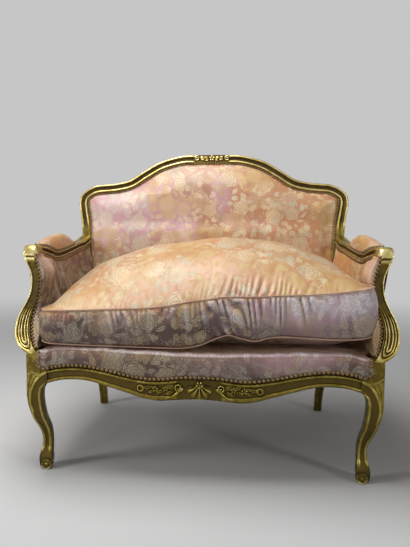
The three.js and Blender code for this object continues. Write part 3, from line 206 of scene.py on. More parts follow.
def lay_grid(
    name: str,
    grid: Array,
    cloth: Array | None = None,
    values: dict[str, Array] | None = None,
    closed: bool = False,
    fill: bool = True,
) -> bpy.types.Object:
    """Lays a grid primitive over rows and columns of points and closes it.

    Args:
        name: Name of the piece.
        grid: Points by row and column.
        cloth: Place of each point on the flat cloth, by row and column. Real lengths if None.
        values: Named numbers for each point, by row and column.
        closed: Whether each row is a ring that ends where it starts.
        fill: Whether open ends are filled.

    Returns:
        The new piece.
    """
    if closed:
        grid = np.concatenate([grid, grid[:, :1]], axis=1)
        cloth = None if cloth is None else np.concatenate([cloth, cloth[:, :1]], axis=1)
        values = {k: np.concatenate([v, v[:, :1]], axis=1) for k, v in (values or {}).items()}
    rows, columns = grid.shape[:2]
    deselect_all()
    bpy.ops.mesh.primitive_grid_add(x_subdivisions=columns - 1, y_subdivisions=rows - 1, size=1)
    piece = bpy.context.object
    piece.name = piece.data.name = name
    put_places(piece, grid.reshape(-1, 3))
    if cloth is None:
        across = np.cumsum(np.linalg.norm(np.diff(grid, axis=1, prepend=grid[:, :1]), axis=-1), axis=1)
        along = np.cumsum(np.linalg.norm(np.diff(grid, axis=0, prepend=grid[:1]), axis=-1), axis=0)
        middle = along[:, columns // 2]
        cloth = np.stack([across, np.broadcast_to(middle[:, None], across.shape)], axis=-1)
    corners = np.empty(len(piece.data.loops), int)
    piece.data.loops.foreach_get("vertex_index", corners)
    flat = np.ascontiguousarray(cloth.reshape(-1, 2)[corners])
    piece.data.uv_layers[0].data.foreach_set("uv", flat.ravel())
    for key, numbers in (values or {}).items():
        set_values(piece, key, numbers)
    tidy_mesh(piece, fill)
    return piece


def tidy_mesh(piece: bpy.types.Object, fill: bool) -> None:
    """Merges doubled points, fills open ends and turns the faces outwards.

    Args:
        piece: The piece, as it was laid.
        fill: Whether open ends are filled.
    """
    work_on(piece)
    bpy.ops.object.mode_set(mode="EDIT")
    bpy.ops.mesh.select_all(action="SELECT")
    bpy.ops.mesh.remove_doubles(threshold=2e-6)
    bpy.ops.mesh.dissolve_degenerate(threshold=1e-7)
    if fill:
        bpy.ops.mesh.select_all(action="SELECT")
        bpy.ops.mesh.fill_holes(sides=0)
    bpy.ops.mesh.select_all(action="SELECT")
    bpy.ops.mesh.normals_make_consistent(inside=False)
    bpy.ops.object.mode_set(mode="OBJECT")


def soften(piece: bpy.types.Object, degrees: float = 50) -> None:
    """Shades a piece smooth, with crisp edges where it turns by more than an angle."""
    work_on(piece)
    bpy.ops.object.shade_smooth_by_angle(angle=math.radians(degrees))


def join_all(name: str, pieces: Sequence[bpy.types.Object]) -> bpy.types.Object:
    """Joins several pieces into the first of them.

    Args:
        name: Name of the result.
        pieces: What is joined.

    Returns:
        The joined piece.
    """
    deselect_all()
    for piece in pieces:
        piece.select_set(True)
    bpy.context.view_layer.objects.active = pieces[0]
    if len(pieces) > 1:
        bpy.ops.object.join()
    pieces[0].name = pieces[0].data.name = name
    return pieces[0]


def mirrored(grid: Array) -> Array:
    """The same points on the other side of the chair."""
    return grid * np.array([-1.0, 1.0, 1.0])


def finish_piece(
    piece: bpy.types.Object,
    material: bpy.types.Material,
    replaced: Sequence[str] = (),
    body: Body = Body.FRAME,
) -> bpy.types.Object:
    """Gives a piece its finish, its body and the solids that it stands for.

    Args:
        piece: The finished mesh.
        material: What it is made of.
        replaced: Names of the solids that it stands for.
        body: The body that it moves with.

    Returns:
        The same piece.
    """
    piece.data.materials.clear()
    piece.data.materials.append(material)
    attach(piece, body.value)
    if replaced:
        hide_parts(*replaced)
    log.info("%s: %d faces", piece.name, len(piece.data.polygons))
    return piece


# The plan of the chair, as its solids have it


@dataclass(frozen=True)
class Plan:
    """Sizes and surfaces that the pieces share."""

    back_half: float = 0.503
    back_height: float = 0.954
    back_plane_y: float = 0.266
    back_plane_z: float = 0.6
    back_rake: float = math.tan(math.radians(12.4))
    back_bow: float = 0.016
    member_width: float = 0.038
    member_depth: float = 0.038
    rear_leg_depth: float = 0.04
    rear_foot_side: float = 0.025
    rear_foot_kick: float = 0.062
    rear_leg_x: float = 0.443
    knee_x: float = 0.477
    knee_front_y: float = -0.374
    leg_height: float = 0.337
    knee_side: float = 0.04
    block_side: float = 0.057
    sweep_x: float = 0.027
    sweep_y: float = 0.05
    rail_top: float = 0.33
    rail_setback: float = 0.004
    rail_thickness: float = 0.042
    webbing_ledge: float = 0.276
    moulding_thickness: float = 0.022
    tacking_recess: float = 0.008
    front_bow: float = 0.02
    side_bow: float = 0.01
    lower_rail_top: float = 0.432
    arm_height: float = 0.632
    arm_width: float = 0.04
    arm_gilt: float = 0.022
    arm_rear_x: float = 0.474
    arm_front_x: float = 0.496
    arm_front_y: float = -0.28
    arm_bow: float = 0.006
    post_bulge_x: float = 0.524
    post_front_y: float = -0.366
    post_top_y: float = -0.284
    post_width: float = 0.046
    post_depth: float = 0.046
    crest_place: float = 23.0
    joint_place: float = 15.5
    arm_seat_share: float = 0.86

    # Place, underside and gilt edge of the front rail, the last two as shares of its top
    front_edges_table = [
        [0, 0.703, 0.861], [0.1, 0.694, 0.857], [0.165, 0.689, 0.85], [0.25, 0.68, 0.837],
        [0.345, 0.692, 0.838], [0.47, 0.736, 0.861], [0.595, 0.779, 0.893], [0.71, 0.816, 0.916],
        [0.81, 0.824, 0.923], [0.915, 0.811, 0.91], [1, 0.779, 0.888],
    ]
    # The same for a side rail, from a front leg to a rear leg
    side_edges_table = [
        [0, 0.779, 0.888], [0.1, 0.812, 0.908], [0.22, 0.82, 0.918], [0.4, 0.79, 0.9],
        [0.55, 0.768, 0.885], [0.7, 0.79, 0.898], [0.85, 0.815, 0.912], [1, 0.8, 0.905],
    ]
    # Height, sweep inwards, shaft side and block side of a front leg
    leg_table = [
        [0, 0.86, 0.56, 0], [0.02, 0.78, 0.74, 0], [0.055, 0.72, 0.86, 0], [0.1, 0.72, 0.88, 0],
        [0.13, 0.8, 0.8, 0], [0.154, 0.87, 0.75, 0], [0.184, 0.97, 0.675, 0], [0.255, 1, 0.65, 0],
        [0.312, 0.9, 0.7, 0], [0.368, 0.72, 0.775, 0], [0.457, 0.37, 0.875, 0],
        [0.561, 0.13, 0.94, 0], [0.659, 0, 1, 0], [0.706, 0, 1, 0.12], [0.736, 0, 1, 0.42],
        [0.765, 0, 1, 1], [1, 0, 1, 1],
    ]
    # Outline of the back from the rear foot to the middle of the crest
    outline_table = [
        [0, 0.829, 0], [1, 0.832, 0.06], [2, 0.845, 0.147], [3, 0.864, 0.231], [4, 0.882, 0.28],
        [5, 0.898, 0.346], [6, 0.921, 0.44], [7, 0.945, 0.56], [8, 0.962, 0.65], [9, 0.966, 0.69],
        [10, 0.975, 0.73], [11, 0.991, 0.775], [12, 1, 0.812], [13, 0.984, 0.842],
        [14, 0.936, 0.864], [15, 0.873, 0.878], [16, 0.8, 0.882], [17, 0.715, 0.887],
        [18, 0.618, 0.9], [19, 0.511, 0.936], [20, 0.39, 0.972], [21, 0.24, 0.995],
        [22, 0.12, 0.999], [23, 0, 1],
    ]
    # Place, width, depth, moulding and backward kick of the back's members
    stile_table = [
        [0, 0, 0, 0, 1], [1, 0.12, 0.15, 0, 0.78], [2, 0.45, 0.45, 0, 0.42],
        [3, 0.8, 0.8, 0, 0.13], [4, 1, 1, 0, 0], [8, 1, 1, 0, 0], [9, 1, 0.95, 0, 0],
        [10, 1, 0.95, 1, 0], [11, 1, 0.95, 1, 0], [23, 1, 0.95, 1, 0],
    ]
    # Place from the stile to the knuckle, and drop below the arm's height
    arm_drop_table = [
        [0, -0.019], [0.1, 0.003], [0.22, 0.012], [0.4, 0.03], [0.56, 0.041], [0.66, 0.039],
        [0.77, 0.019], [0.87, 0.007], [0.96, 0.002], [1, 0.012],
    ]
    # Height, outer edge, width and sweep to the back of an arm support
    post_table = [
        [0, -1.05, 0.8, 0], [0.05, -0.58, 1, 0.1], [0.1, -0.3, 1.1, 0.22], [0.18, -0.06, 1.16, 0.4],
        [0.27, 0, 1.1, 0.56], [0.38, -0.12, 1, 0.7], [0.5, -0.46, 0.82, 0.8],
        [0.62, -0.74, 0.66, 0.87], [0.74, -0.82, 0.6, 0.92], [0.85, -0.72, 0.62, 0.96],
        [0.94, -0.5, 0.7, 0.99], [1, -0.36, 0.75, 1],
    ]

    @property
    def leg_inner_x(self) -> float:
        """Inner face of the front legs' blocks."""
        return self.knee_x - self.block_side

    @property
    def leg_back_y(self) -> float:
        """Back face of the front legs' blocks."""
        return self.knee_front_y + self.block_side

    @property
    def rear_leg_front_y(self) -> float:
        """Front of the rear legs at the seat."""
        return float(self.rear_leg_face_y(self.webbing_ledge))

    @property
    def rear_rail_front_y(self) -> float:
        """Front of the rear rail."""
        return self.rear_leg_front_y + 0.015

    def back_y(self, x: Array, z: Array) -> Array:
        """Front of the back frame."""
        bow = self.back_bow * (1 - (x / self.back_half) ** 2)
        return self.back_plane_y + (z - self.back_plane_z) * self.back_rake + bow

    def rear_leg_face_y(self, z: Array) -> Array:
        """Front of a rear leg, upright below the seat."""
        return self.back_y(self.rear_leg_x, np.maximum(z, self.webbing_ledge))

    def front_face_y(self, x: Array) -> Array:
        """Face of the bowed front rail."""
        bow = self.front_bow * (1 - (x / self.leg_inner_x) ** 2)
        return self.knee_front_y + self.rail_setback - bow

    def side_share(self, y: Array) -> Array:
        """Share of the way along a side rail."""
        return np.clip((y - self.leg_back_y) / (self.rear_leg_front_y - self.leg_back_y), 0, 1)

    def side_face_x(self, y: Array) -> Array:
        """Face of a side rail."""
        s = self.side_share(y)
        return mix(self.knee_x - self.rail_setback, self.rear_leg_x, s) + self.side_bow * 4 * s * (1 - s)

    def front_edges(self, x: Array) -> Array:
        """Underside and gilt edge of the front rail."""
        place = np.minimum(np.abs(x) / (self.leg_inner_x - 0.0003), 1)
        return smooth_at(self.front_edges_table, place) * self.rail_top

    def side_edges(self, y: Array) -> Array:
        """Underside and gilt edge of a side rail."""
        return smooth_at(self.side_edges_table, self.side_share(y)) * self.rail_top

    def outline(self, place: Array) -> Array:
        """Outer edge of the back: distance from the middle and height, first axis."""
        x, z = smooth_at(self.outline_table, place)
        return np.stack([x * self.back_half, z * self.back_height])

    def back_rings(self, place: Array, section: Array) -> Array:
        """Sections of the back frame.

        Args:
            place: Places along the outline.
            section: Rows of shares inwards from the outer edge and back from the face.

        Returns:
            Points by place and section row.
        """
        place = np.asarray(place, float)
        reach = 0.05
        x, z = self.outline(place)
        ahead = self.outline(np.minimum(place + reach, self.crest_place))
        along = ahead - self.outline(np.maximum(place - reach, 0))
        upper = ease(z, self.rail_top, self.lower_rail_top)
        inward = np.stack([-along[1], along[0] * upper])
        inward /= np.linalg.norm(inward, axis=0)
        wide, deep, moulded, kick = smooth_at(self.stile_table, place)
        width = mix(self.rear_foot_side, self.member_width, wide)[:, None]
        depth = mix(self.rear_foot_side, self.rear_leg_depth, deep)[:, None]
        across, back = section[:, 0][None], section[:, 1][None]
        px = x[:, None] + inward[0][:, None] * across * width
        pz = z[:, None] + inward[1][:, None] * across * width
        low = self.rear_leg_face_y(pz) + self.rear_foot_kick * kick[:, None]
        flat = np.where(back < 0.25, back * np.maximum(moulded, 0)[:, None], back)
        return points(px, mix(low, self.back_y(px, pz), upper[:, None]) + flat * depth, pz)

    def place_of_height(self, z: float) -> float:
        """Place on the outline of a height below the shoulder."""
        places = np.linspace(0, 12, 241)
        return float(places[np.argmax(self.outline(places)[1] >= z)])

    def inner_x_at(self, z: float) -> float:
        """Inner side of the rear leg at a height."""
        ring = self.back_rings(np.array([self.place_of_height(z)]), np.array([[1.0, 0.5]]))
        return float(ring[0, 0, 0])

    @property
    def arm_rear_z(self) -> float:
        """Height of the arm where it meets the stile."""
        return self.arm_height * (1 - self.arm_drop_table[0][1])

    @property
    def arm_seat_z(self) -> float:
        """Underside of the arm over its support."""
        return self.arm_height - self.arm_gilt * 1.6

    def arm_middle(self, s: Array) -> Array:
        """Points along the top of an arm rail, from the stile forwards."""
        s = np.asarray(s, float)
        rear_y = self.back_y(self.arm_rear_x, self.arm_rear_z)
        x = mix(self.arm_rear_x, self.arm_front_x, s) + self.arm_bow * 4 * s * (1 - s)
        z = self.arm_height * (1 - smooth_at(self.arm_drop_table, s)[0])
        return points(x, mix(rear_y, self.arm_front_y, s), z)

    def arm_share(self, y: Array) -> Array:
        """Share of the way from the stile to the arm's front end."""
        rear_y = self.back_y(self.arm_rear_x, self.arm_rear_z)
        return np.clip((y - rear_y) / (self.arm_front_y - rear_y), 0, 1)

    def post(self, s: Array) -> tuple[Array, Array, Array, Array, Array]:
        """Outer edge, width, front, depth and height of an arm support at shares of its height."""
        outer, wide, sweep = smooth_at(self.post_table, s)
        z = mix(self.leg_height + 0.0003, self.arm_seat_z - 0.0003, s)
        front = mix(self.post_front_y, self.post_top_y, sweep)
        return (
            self.post_bulge_x + self.post_width * outer,
            self.post_width * wide,
            front,
            self.post_depth * mix(1, 0.78, s),
            z,
        )

    def post_at(self, z: Array) -> tuple[Array, Array, Array, Array]:
        """Inner side, width, front and back of an arm support at a height."""
        share = np.clip((z - self.leg_height) / (self.arm_seat_z - self.leg_height), 0, 1)
        outer, width, front, depth, _ = self.post(share)
        return outer - width, width, front, front + depth


PLAN = Plan()


# Relief: heights of carving over a flat place, from 0 at its edge to 1


def dome(distance: Array, radius: float | Array) -> Array:
    """A round bead's height at a distance from its middle line."""
    return np.sqrt(np.clip(1 - (distance / radius) ** 2, 0, 1))


def bead_along(x: Array, y: Array, line: Array, radius: float, taper: float = 0) -> Array:
    """A bead laid along a line, thinner at its ends by a share."""
    gap, share = to_line(x, y, line)
    width = radius * (1 - taper * np.abs(2 * share - 1) ** 2)
    return dome(gap, width) * (width / radius)


def leaf(x: Array, y: Array, root: tuple[float, float], turn: float, length: float, width: float) -> Array:
    """A carved leaf with a sunk vein.

    Args:
        x: First coordinate of the spots.
        y: Second coordinate of the spots.
        root: Where the leaf starts.
        turn: Its direction in radians.
        length: Its length.
        width: Half of its width.

    Returns:
        Heights in the spots' shape.
    """
    u = ((x - root[0]) * math.cos(turn) + (y - root[1]) * math.sin(turn)) / length
    v = (-(x - root[0]) * math.sin(turn) + (y - root[1]) * math.cos(turn)) / width
    half = np.sin(np.pi * np.clip(u, 0, 1) ** 0.8) * (1 + 0.12 * np.sin(u * 26))
    inside = (u > 0) & (u < 1) & (np.abs(v) < half)
    rise = np.sqrt(np.clip(1 - (v / np.maximum(half, 1e-6)) ** 2, 0, 1))
    vein = 1 - 0.45 * np.exp(-((v / 0.14) ** 2))
    return np.where(inside, rise * vein * (0.55 + 0.45 * np.sin(np.pi * np.clip(u, 0, 1))), 0)


def flower(x: Array, y: Array, middle: tuple[float, float], radius: float, petals: int, turn: float = 0) -> Array:
    """A carved flower: petals with sunk gaps round a raised eye."""
    dx, dy = x - middle[0], y - middle[1]
    r = np.hypot(dx, dy) / radius
    angle = np.arctan2(dy, dx) + turn
    lobe = np.abs(np.cos(petals * angle / 2))
    edge = 0.74 + 0.26 * lobe
    inside = np.clip((edge - r) / 0.16, 0, 1)
    cup = 0.35 + 0.65 * np.sin(np.pi * np.clip(r / edge, 0, 1) ** 1.3)
    eye = dome(r, 0.24)
    return np.maximum(inside * cup * (0.45 + 0.55 * lobe), eye * 0.95)


def volute(x: Array, y: Array, middle: tuple[float, float], radius: float, hand: int, start: float) -> Array:
    """A bead rolled up into a spiral of a turn and a half."""
    t = np.linspace(0, 1, 40)
    angle = start + hand * t * TAU * 1.35
    reach = radius * (1 - 0.78 * t)
    line = np.stack([middle[0] + reach * np.cos(angle), middle[1] + reach * np.sin(angle)], axis=-1)
    return bead_along(x, y, line, radius * 0.26)


def relief_of(height: Array, spread: int = 5) -> Array:
    """How far each spot stands out of its surroundings, from -1 in a hollow to 1 on a ridge."""
    wide = height.copy()
    for axis in (0, 1):
        pad = [(0, 0), (0, 0)]
        pad[axis] = (spread, spread)
        lined = np.cumsum(np.pad(wide, pad, mode="edge"), axis=axis)
        size = 2 * spread
        first = np.take(lined, np.arange(size, lined.shape[axis]), axis=axis)
        wide = (first - np.take(lined, np.arange(lined.shape[axis] - size), axis=axis)) / size
    stands = height - wide
    return np.clip(stands / (np.percentile(np.abs(stands), 97) + 1e-9), -1, 1)


# Materials


class Wire:
    """A node's output that formulas can be written with."""

    def __init__(self, tree: bpy.types.NodeTree, socket: bpy.types.NodeSocket) -> None:
        """Keeps the tree and the output."""
        self.tree = tree
        self.socket = socket

    def math(self, operation: str, other: "Wire | float | None" = None, third: float | None = None) -> "Wire":
        """Puts the output through a Math node.

        Args:
            operation: The node's operation.
            other: Its second input.
            third: Its third input.

        Returns:
            The node's output.
        """
        node = self.tree.nodes.new("ShaderNodeMath")
        node.operation = operation
        self.tree.links.new(self.socket, node.inputs[0])
        for place, value in ((1, other), (2, third)):
            if isinstance(value, Wire):
                self.tree.links.new(value.socket, node.inputs[place])
            elif value is not None:
                node.inputs[place].default_value = value
        return Wire(self.tree, node.outputs[0])

    def __add__(self, other: "Wire | float") -> "Wire":
        """The sum."""
        return self.math("ADD", other)

    def __sub__(self, other: "Wire | float") -> "Wire":
        """The difference."""
        return self.math("SUBTRACT", other)

    def __mul__(self, other: "Wire | float") -> "Wire":
        """The product."""
        return self.math("MULTIPLY", other)

    def __truediv__(self, other: "Wire | float") -> "Wire":
        """The quotient."""
        return self.math("DIVIDE", other)

    def less(self) -> "Wire":
        """One less the value."""
        return (self * -1.0) + 1.0

    def step(self, start: float, end: float) -> "Wire":
        """A smooth step from 0 at start to 1 at end, which may lie below start."""
        node = self.tree.nodes.new("ShaderNodeMapRange")
        node.interpolation_type = "SMOOTHSTEP"
        self.tree.links.new(self.socket, node.inputs["Value"])
        low, high = min(start, end), max(start, end)
        node.inputs["From Min"].default_value = low
        node.inputs["From Max"].default_value = high
        node.inputs["To Min"].default_value = float(start > end)
        node.inputs["To Max"].default_value = float(start < end)
        return Wire(self.tree, node.outputs["Result"])

    def band(self, half: float, soft: float) -> "Wire":
        """1 where the fraction of the value is within half of a line's middle."""
        return ((self.math("FRACT")) - 0.5).math("ABSOLUTE").step(half + soft, half)

    def split(self) -> "tuple[Wire, Wire, Wire]":
        """The three parts of a vector or colour."""
        node = self.tree.nodes.new("ShaderNodeSeparateXYZ")
        self.tree.links.new(self.socket, node.inputs[0])
        return tuple(Wire(self.tree, out) for out in node.outputs)

    def vector(self, operation: str, other: "Wire | Sequence[float] | float") -> "Wire":
        """Puts the output through a Vector Math node.

        Args:
            operation: The node's operation.
            other: Its second input, or its scale.

        Returns:
            The node's output.
        """
        node = self.tree.nodes.new("ShaderNodeVectorMath")
        node.operation = operation
        self.tree.links.new(self.socket, node.inputs[0])
        if isinstance(other, Wire):
            self.tree.links.new(other.socket, node.inputs[1])
        elif isinstance(other, (int, float)):
            node.inputs["Scale"].default_value = other
        else:
            node.inputs[1].default_value = other
        return Wire(self.tree, node.outputs[0])


def noise(place: Wire, scale: float, detail: float = 2, roughness: float = 0.5, warp: float = 0) -> Wire:
    """Smooth noise over a place.

    Args:
        place: Where it is read.
        scale: Its spots in each metre.
        detail: How many finer layers it has.
        roughness: How strong the finer layers are.
        warp: How much it is distorted.

    Returns:
        A value that is mostly from 0.3 to 0.7.
    """
    node = place.tree.nodes.new("ShaderNodeTexNoise")
    place.tree.links.new(place.socket, node.inputs["Vector"])
    for name, value in (("Scale", scale), ("Detail", detail), ("Roughness", roughness), ("Distortion", warp)):
        node.inputs[name].default_value = value
    return Wire(place.tree, node.outputs[0])


def linear(color: Sequence[float]) -> tuple[float, float, float, float]:
    """A colour on the 0 to 255 screen scale as the linear values that nodes take."""
    share = [c / 255 for c in color]
    return tuple(c / 12.92 if c <= 0.04045 else ((c + 0.055) / 1.055) ** 2.4 for c in share) + (1.0,)


def ramp(value: Wire, stops: Sequence[tuple[float, Sequence[float]]]) -> Wire:
    """Colours along a value.

    Args:
        value: The value.
        stops: Places along it, each with a colour on the screen scale.

    Returns:
        The colour.
    """
    node = value.tree.nodes.new("ShaderNodeValToRGB")
    value.tree.links.new(value.socket, node.inputs[0])
    elements = node.color_ramp.elements
    while len(elements) < len(stops):
        elements.new(0.5)
    for element, (place, color) in zip(elements, stops):
        element.position = place
        element.color = linear(color)
    return Wire(value.tree, node.outputs["Color"])


def blend(share: Wire | float, a: Wire | Sequence[float], b: Wire | Sequence[float], mode: str = "MIX") -> Wire:
    """Mixes two colours.

    Args:
        share: Share of the second.
        a: The first, a wire or a colour on the screen scale.
        b: The second.
        mode: The way that they are mixed.

    Returns:
        The mixed colour.
    """
    tree = next(w.tree for w in (share, a, b) if isinstance(w, Wire))
    node = tree.nodes.new("ShaderNodeMix")
    node.data_type = "RGBA"
    node.blend_type = mode
    for place, value in ((0, share), (6, a), (7, b)):
        if isinstance(value, Wire):
            tree.links.new(value.socket, node.inputs[place])
        else:
            node.inputs[place].default_value = value if place == 0 else linear(value)
    return Wire(tree, node.outputs[2])


def new_group(name: str, inputs: Sequence[tuple[str, str]], outputs: Sequence[tuple[str, str]]) -> bpy.types.NodeTree:
    """An empty shader group.

    Args:
        name: Its name.
        inputs: Names and socket types of its inputs.
        outputs: Names and socket types of its outputs.

    Returns:
        The group's tree.
    """
    tree = bpy.data.node_groups.new(name, "ShaderNodeTree")
    for way, sockets in (("INPUT", inputs), ("OUTPUT", outputs)):
        for label, kind in sockets:
            tree.interface.new_socket(name=label, in_out=way, socket_type=kind)
    tree.nodes.new("NodeGroupInput")
    tree.nodes.new("NodeGroupOutput")
    return tree


def group_inputs(tree: bpy.types.NodeTree) -> dict[str, Wire]:
    """The inputs of a group as wires, by name."""
    node = next(n for n in tree.nodes if n.bl_idname == "NodeGroupInput")
    return {s.name: Wire(tree, s) for s in node.outputs if s.name}


def group_output(tree: bpy.types.NodeTree, **wires: Wire) -> None:
    """Connects a group's outputs, whose names are given in lower case."""
    node = next(n for n in tree.nodes if n.bl_idname == "NodeGroupOutput")
    for name, wire in wires.items():
        tree.links.new(wire.socket, node.inputs[name.capitalize()])


class Shade:
    """A material's nodes, with its Principled surface."""

    def __init__(self, name: str) -> None:
        """Makes the material."""
        self.material = bpy.data.materials.new(name)
        self.material.use_nodes = True
        self.tree = self.material.node_tree
        self.surface = self.tree.nodes["Principled BSDF"]

    def place(self) -> Wire:
        """Object coordinates."""
        return Wire(self.tree, self.tree.nodes.new("ShaderNodeTexCoord").outputs["Object"])

    def cloth(self) -> Wire:
        """Place on the flat cloth, in metres."""
        return Wire(self.tree, self.tree.nodes.new("ShaderNodeUVMap").outputs["UV"])

    def value(self, name: str) -> Wire:
        """A number that is stored at the points."""
        node = self.tree.nodes.new("ShaderNodeAttribute")
        node.attribute_name = name
        return Wire(self.tree, node.outputs["Fac"])

    def group(self, tree: bpy.types.NodeTree, **inputs: Wire | float) -> dict[str, Wire]:
        """Places a group with its own values.

        Args:
            tree: The group.
            **inputs: Its inputs, whose names are given in lower case.

        Returns:
            Its outputs by name in lower case.
        """
        node = self.tree.nodes.new("ShaderNodeGroup")
        node.node_tree = tree
        for name, value in inputs.items():
            socket = node.inputs[name.capitalize()]
            if isinstance(value, Wire):
                self.tree.links.new(value.socket, socket)
            else:
                socket.default_value = value
        return {out.name.lower(): Wire(self.tree, out) for out in node.outputs}

    def set(self, **sockets: Wire | float) -> None:
        """Sets or connects the surface's sockets, named with underscores."""
        for name, value in sockets.items():
            socket = self.surface.inputs[name.replace("_", " ").title().replace("Ior", "IOR")]
            if isinstance(value, Wire):
                self.tree.links.new(value.socket, socket)
            else:
                socket.default_value = value

    def bump(self, height: Wire, depth: float, strength: float = 1) -> None:
        """Roughens the surface by a height.

        Args:
            height: The height, from 0 to 1.
            depth: What 1 stands for, in metres.
            strength: How much of it is used.
        """
        node = self.tree.nodes.new("ShaderNodeBump")
        node.inputs["Strength"].default_value = strength
        node.inputs["Distance"].default_value = depth
        self.tree.links.new(height.socket, node.inputs["Height"])
        self.tree.links.new(node.outputs[0], self.surface.inputs["Normal"])


def wear_and_light_group() -> bpy.types.NodeTree:
    """Tone of a gilded or metal edge from how far it stands out: paler on ridges, part gold bared by rubbing and part
    painted highlight, and darker in hollows, part grime and part painted shade.
    """
    tree = new_group(
        "edge_wear_and_painted_light",
        [("Place", "NodeSocketVector"), ("Relief", "NodeSocketFloat"), ("Amount", "NodeSocketFloat")],
        [("Tone", "NodeSocketFloat"), ("Rub", "NodeSocketFloat"), ("Grain", "NodeSocketFloat")],
    )
    given = group_inputs(tree)
    place, relief = given["Place"], given["Relief"]
    broad = noise(place, 9, 3, 0.6) - 0.5
    patch = noise(place, 46, 4, 0.65, 0.4) - 0.5
    grain = noise(place, 420, 3, 0.6)
    # Ridges lighter and hollows darker: rubbing and grime together with painted highlight and painted shade
    stand = relief * 0.42 + 0.5
    tone = stand + broad * given["Amount"] * 0.5 + patch * given["Amount"] * 0.9
    rub = (stand + patch * 1.4).step(0.78, 1.05)
    group_output(tree, tone=tone, rub=rub, grain=grain)
    return tree


def weave_group() -> bpy.types.NodeTree:
    """Threads that cross: a height for them, and the share of the warp."""
    tree = new_group(
        "thread_weave",
        [("Cloth", "NodeSocketVector"), ("Threads", "NodeSocketFloat")],
        [("Height", "NodeSocketFloat"), ("Warp", "NodeSocketFloat")],
    )
    given = group_inputs(tree)
    u, v, _ = given["Cloth"].split()
    across, along = u * given["Threads"], v * given["Threads"]
    shift = along.math("FLOOR") * 0.2
    warp = ((across + shift) * TAU).math("SINE") * 0.5 + 0.5
    weft = (along * TAU).math("SINE") * 0.5 + 0.5
    group_output(tree, height=warp * 0.6 + weft * 0.4, warp=warp)
    return tree


def brocade_group() -> bpy.types.NodeTree:
    """Figure of a floral brocade: line-drawn roses with feathery leaves, sprays and small blossoms."""
    tree = new_group(
        "floral_figure",
        [("Cloth", "NodeSocketVector")],
        [("Figure", "NodeSocketFloat"), ("Rose", "NodeSocketFloat"), ("Hue", "NodeSocketFloat")],
    )
    given = group_inputs(tree)
    flat = given["Cloth"].vector("ADD", (3.1, 5.7, 0.0))
    sway = tree.nodes.new("ShaderNodeTexNoise")
    sway.inputs["Scale"].default_value = 26
    tree.links.new(flat.socket, sway.inputs["Vector"])
    wander = Wire(tree, sway.outputs["Color"]).vector("SUBTRACT", (0.5, 0.5, 0.5)).vector("SCALE", 0.016)
    place = flat.vector("ADD", wander)

    def cells(scale: float, chance: float) -> tuple[Wire, Wire, tuple[Wire, Wire, Wire]]:
        """Cells of flowers: distance and angle from the middle, and three chance numbers."""
        node = tree.nodes.new("ShaderNodeTexVoronoi")
        node.voronoi_dimensions = "2D"
        node.inputs["Scale"].default_value = scale
        node.inputs["Randomness"].default_value = chance
        tree.links.new(place.socket, node.inputs["Vector"])
        x, y, _ = place.vector("SUBTRACT", Wire(tree, node.outputs["Position"])).split()
        reach = (x * x + y * y).math("SQRT")
        return reach, y.math("ARCTAN2", x), Wire(tree, node.outputs["Color"]).split()

    def rose(q: Wire, turn: Wire, petals: float, rings: float, thin: float) -> Wire:
        """Petals that lap over each other, ring by ring, drawn in thin lines with short hatching."""
        deep = q * rings
        lap = (turn * (petals / 2) + deep.math("FLOOR") * 1.9).math("SINE").math("ABSOLUTE")
        line = (deep - lap * 0.55).band(thin, 0.1)
        hatch = (turn * (petals * 7 / TAU)).band(0.16, 0.14) * (deep - lap * 0.55).math("FRACT").step(0.62, 0.78)
        edge = (q - (turn * (petals / 2)).math("SINE").math("ABSOLUTE") * 0.13).step(0.9, 0.86)
        return line.math("MAXIMUM", hatch * 0.75) * edge

    reach, angle, (size_by, turn_by, kind_by) = cells(9.6, 0.8)
    turn = angle + turn_by * TAU
    q = reach / (size_by * 0.01 + 0.027)
    big = rose(q, turn, 5.0, 4.0, 0.1)

    swirl = turn * (9 / TAU) + (size_by - 0.5) * q * 1.6
    off = (swirl.math("FRACT") - 0.5).math("ABSOLUTE")
    reach_out = (q - 0.95) / 1.15
    half = (reach_out.math("MAXIMUM", 0.0).math("MINIMUM", 1.0) * math.pi).math("SINE") * 0.36
    saw = (q * 13.0 + off * 9.0).math("FRACT") * 0.1
    vein = off.step(0.015, 0.04) * (q * 11.0 + off * 12.0).band(0.26, 0.12)
    leaves = (half - off - saw).step(0.0, 0.05) * vein * (noise(flat, 17, 0) - 0.43).step(0.0, 0.05)

    lines = (noise(place, 34, 2.2, 0.55, 2.2) * 13.0).band(0.1, 0.1)
    where = (noise(flat, 13, 1) - 0.49).step(0.0, 0.07)
    sprays = lines * where * (q - 0.9).step(0.0, 0.1)

    near, angle_b, (size_b, turn_b, kind_b) = cells(34.0, 0.95)
    small = near / (size_b * 0.004 + 0.0075)
    blossom = rose(small, angle_b + turn_b * TAU, 5.0, 2.2, 0.17)
    blossom = blossom * kind_b.step(0.4, 0.44) * (q - 0.92).step(0.0, 0.08)
    fleck_at, _, (fleck_by, _, _) = cells(150.0, 1.0)
    fleck = fleck_at.step(0.0019, 0.0012) * fleck_by.step(0.45, 0.5) * (noise(flat, 15, 1) - 0.5).step(0.0, 0.06)

    figure = big.math("MAXIMUM", leaves).math("MAXIMUM", sprays * 0.9).math("MAXIMUM", blossom)
    figure = figure.math("MAXIMUM", fleck * 0.8)
    hue = noise(flat, 9, 2, 0.6) * 0.7 + turn_by * 0.3
    group_output(tree, figure=figure, rose=q.step(1.0, 0.6), hue=hue)
    return tree


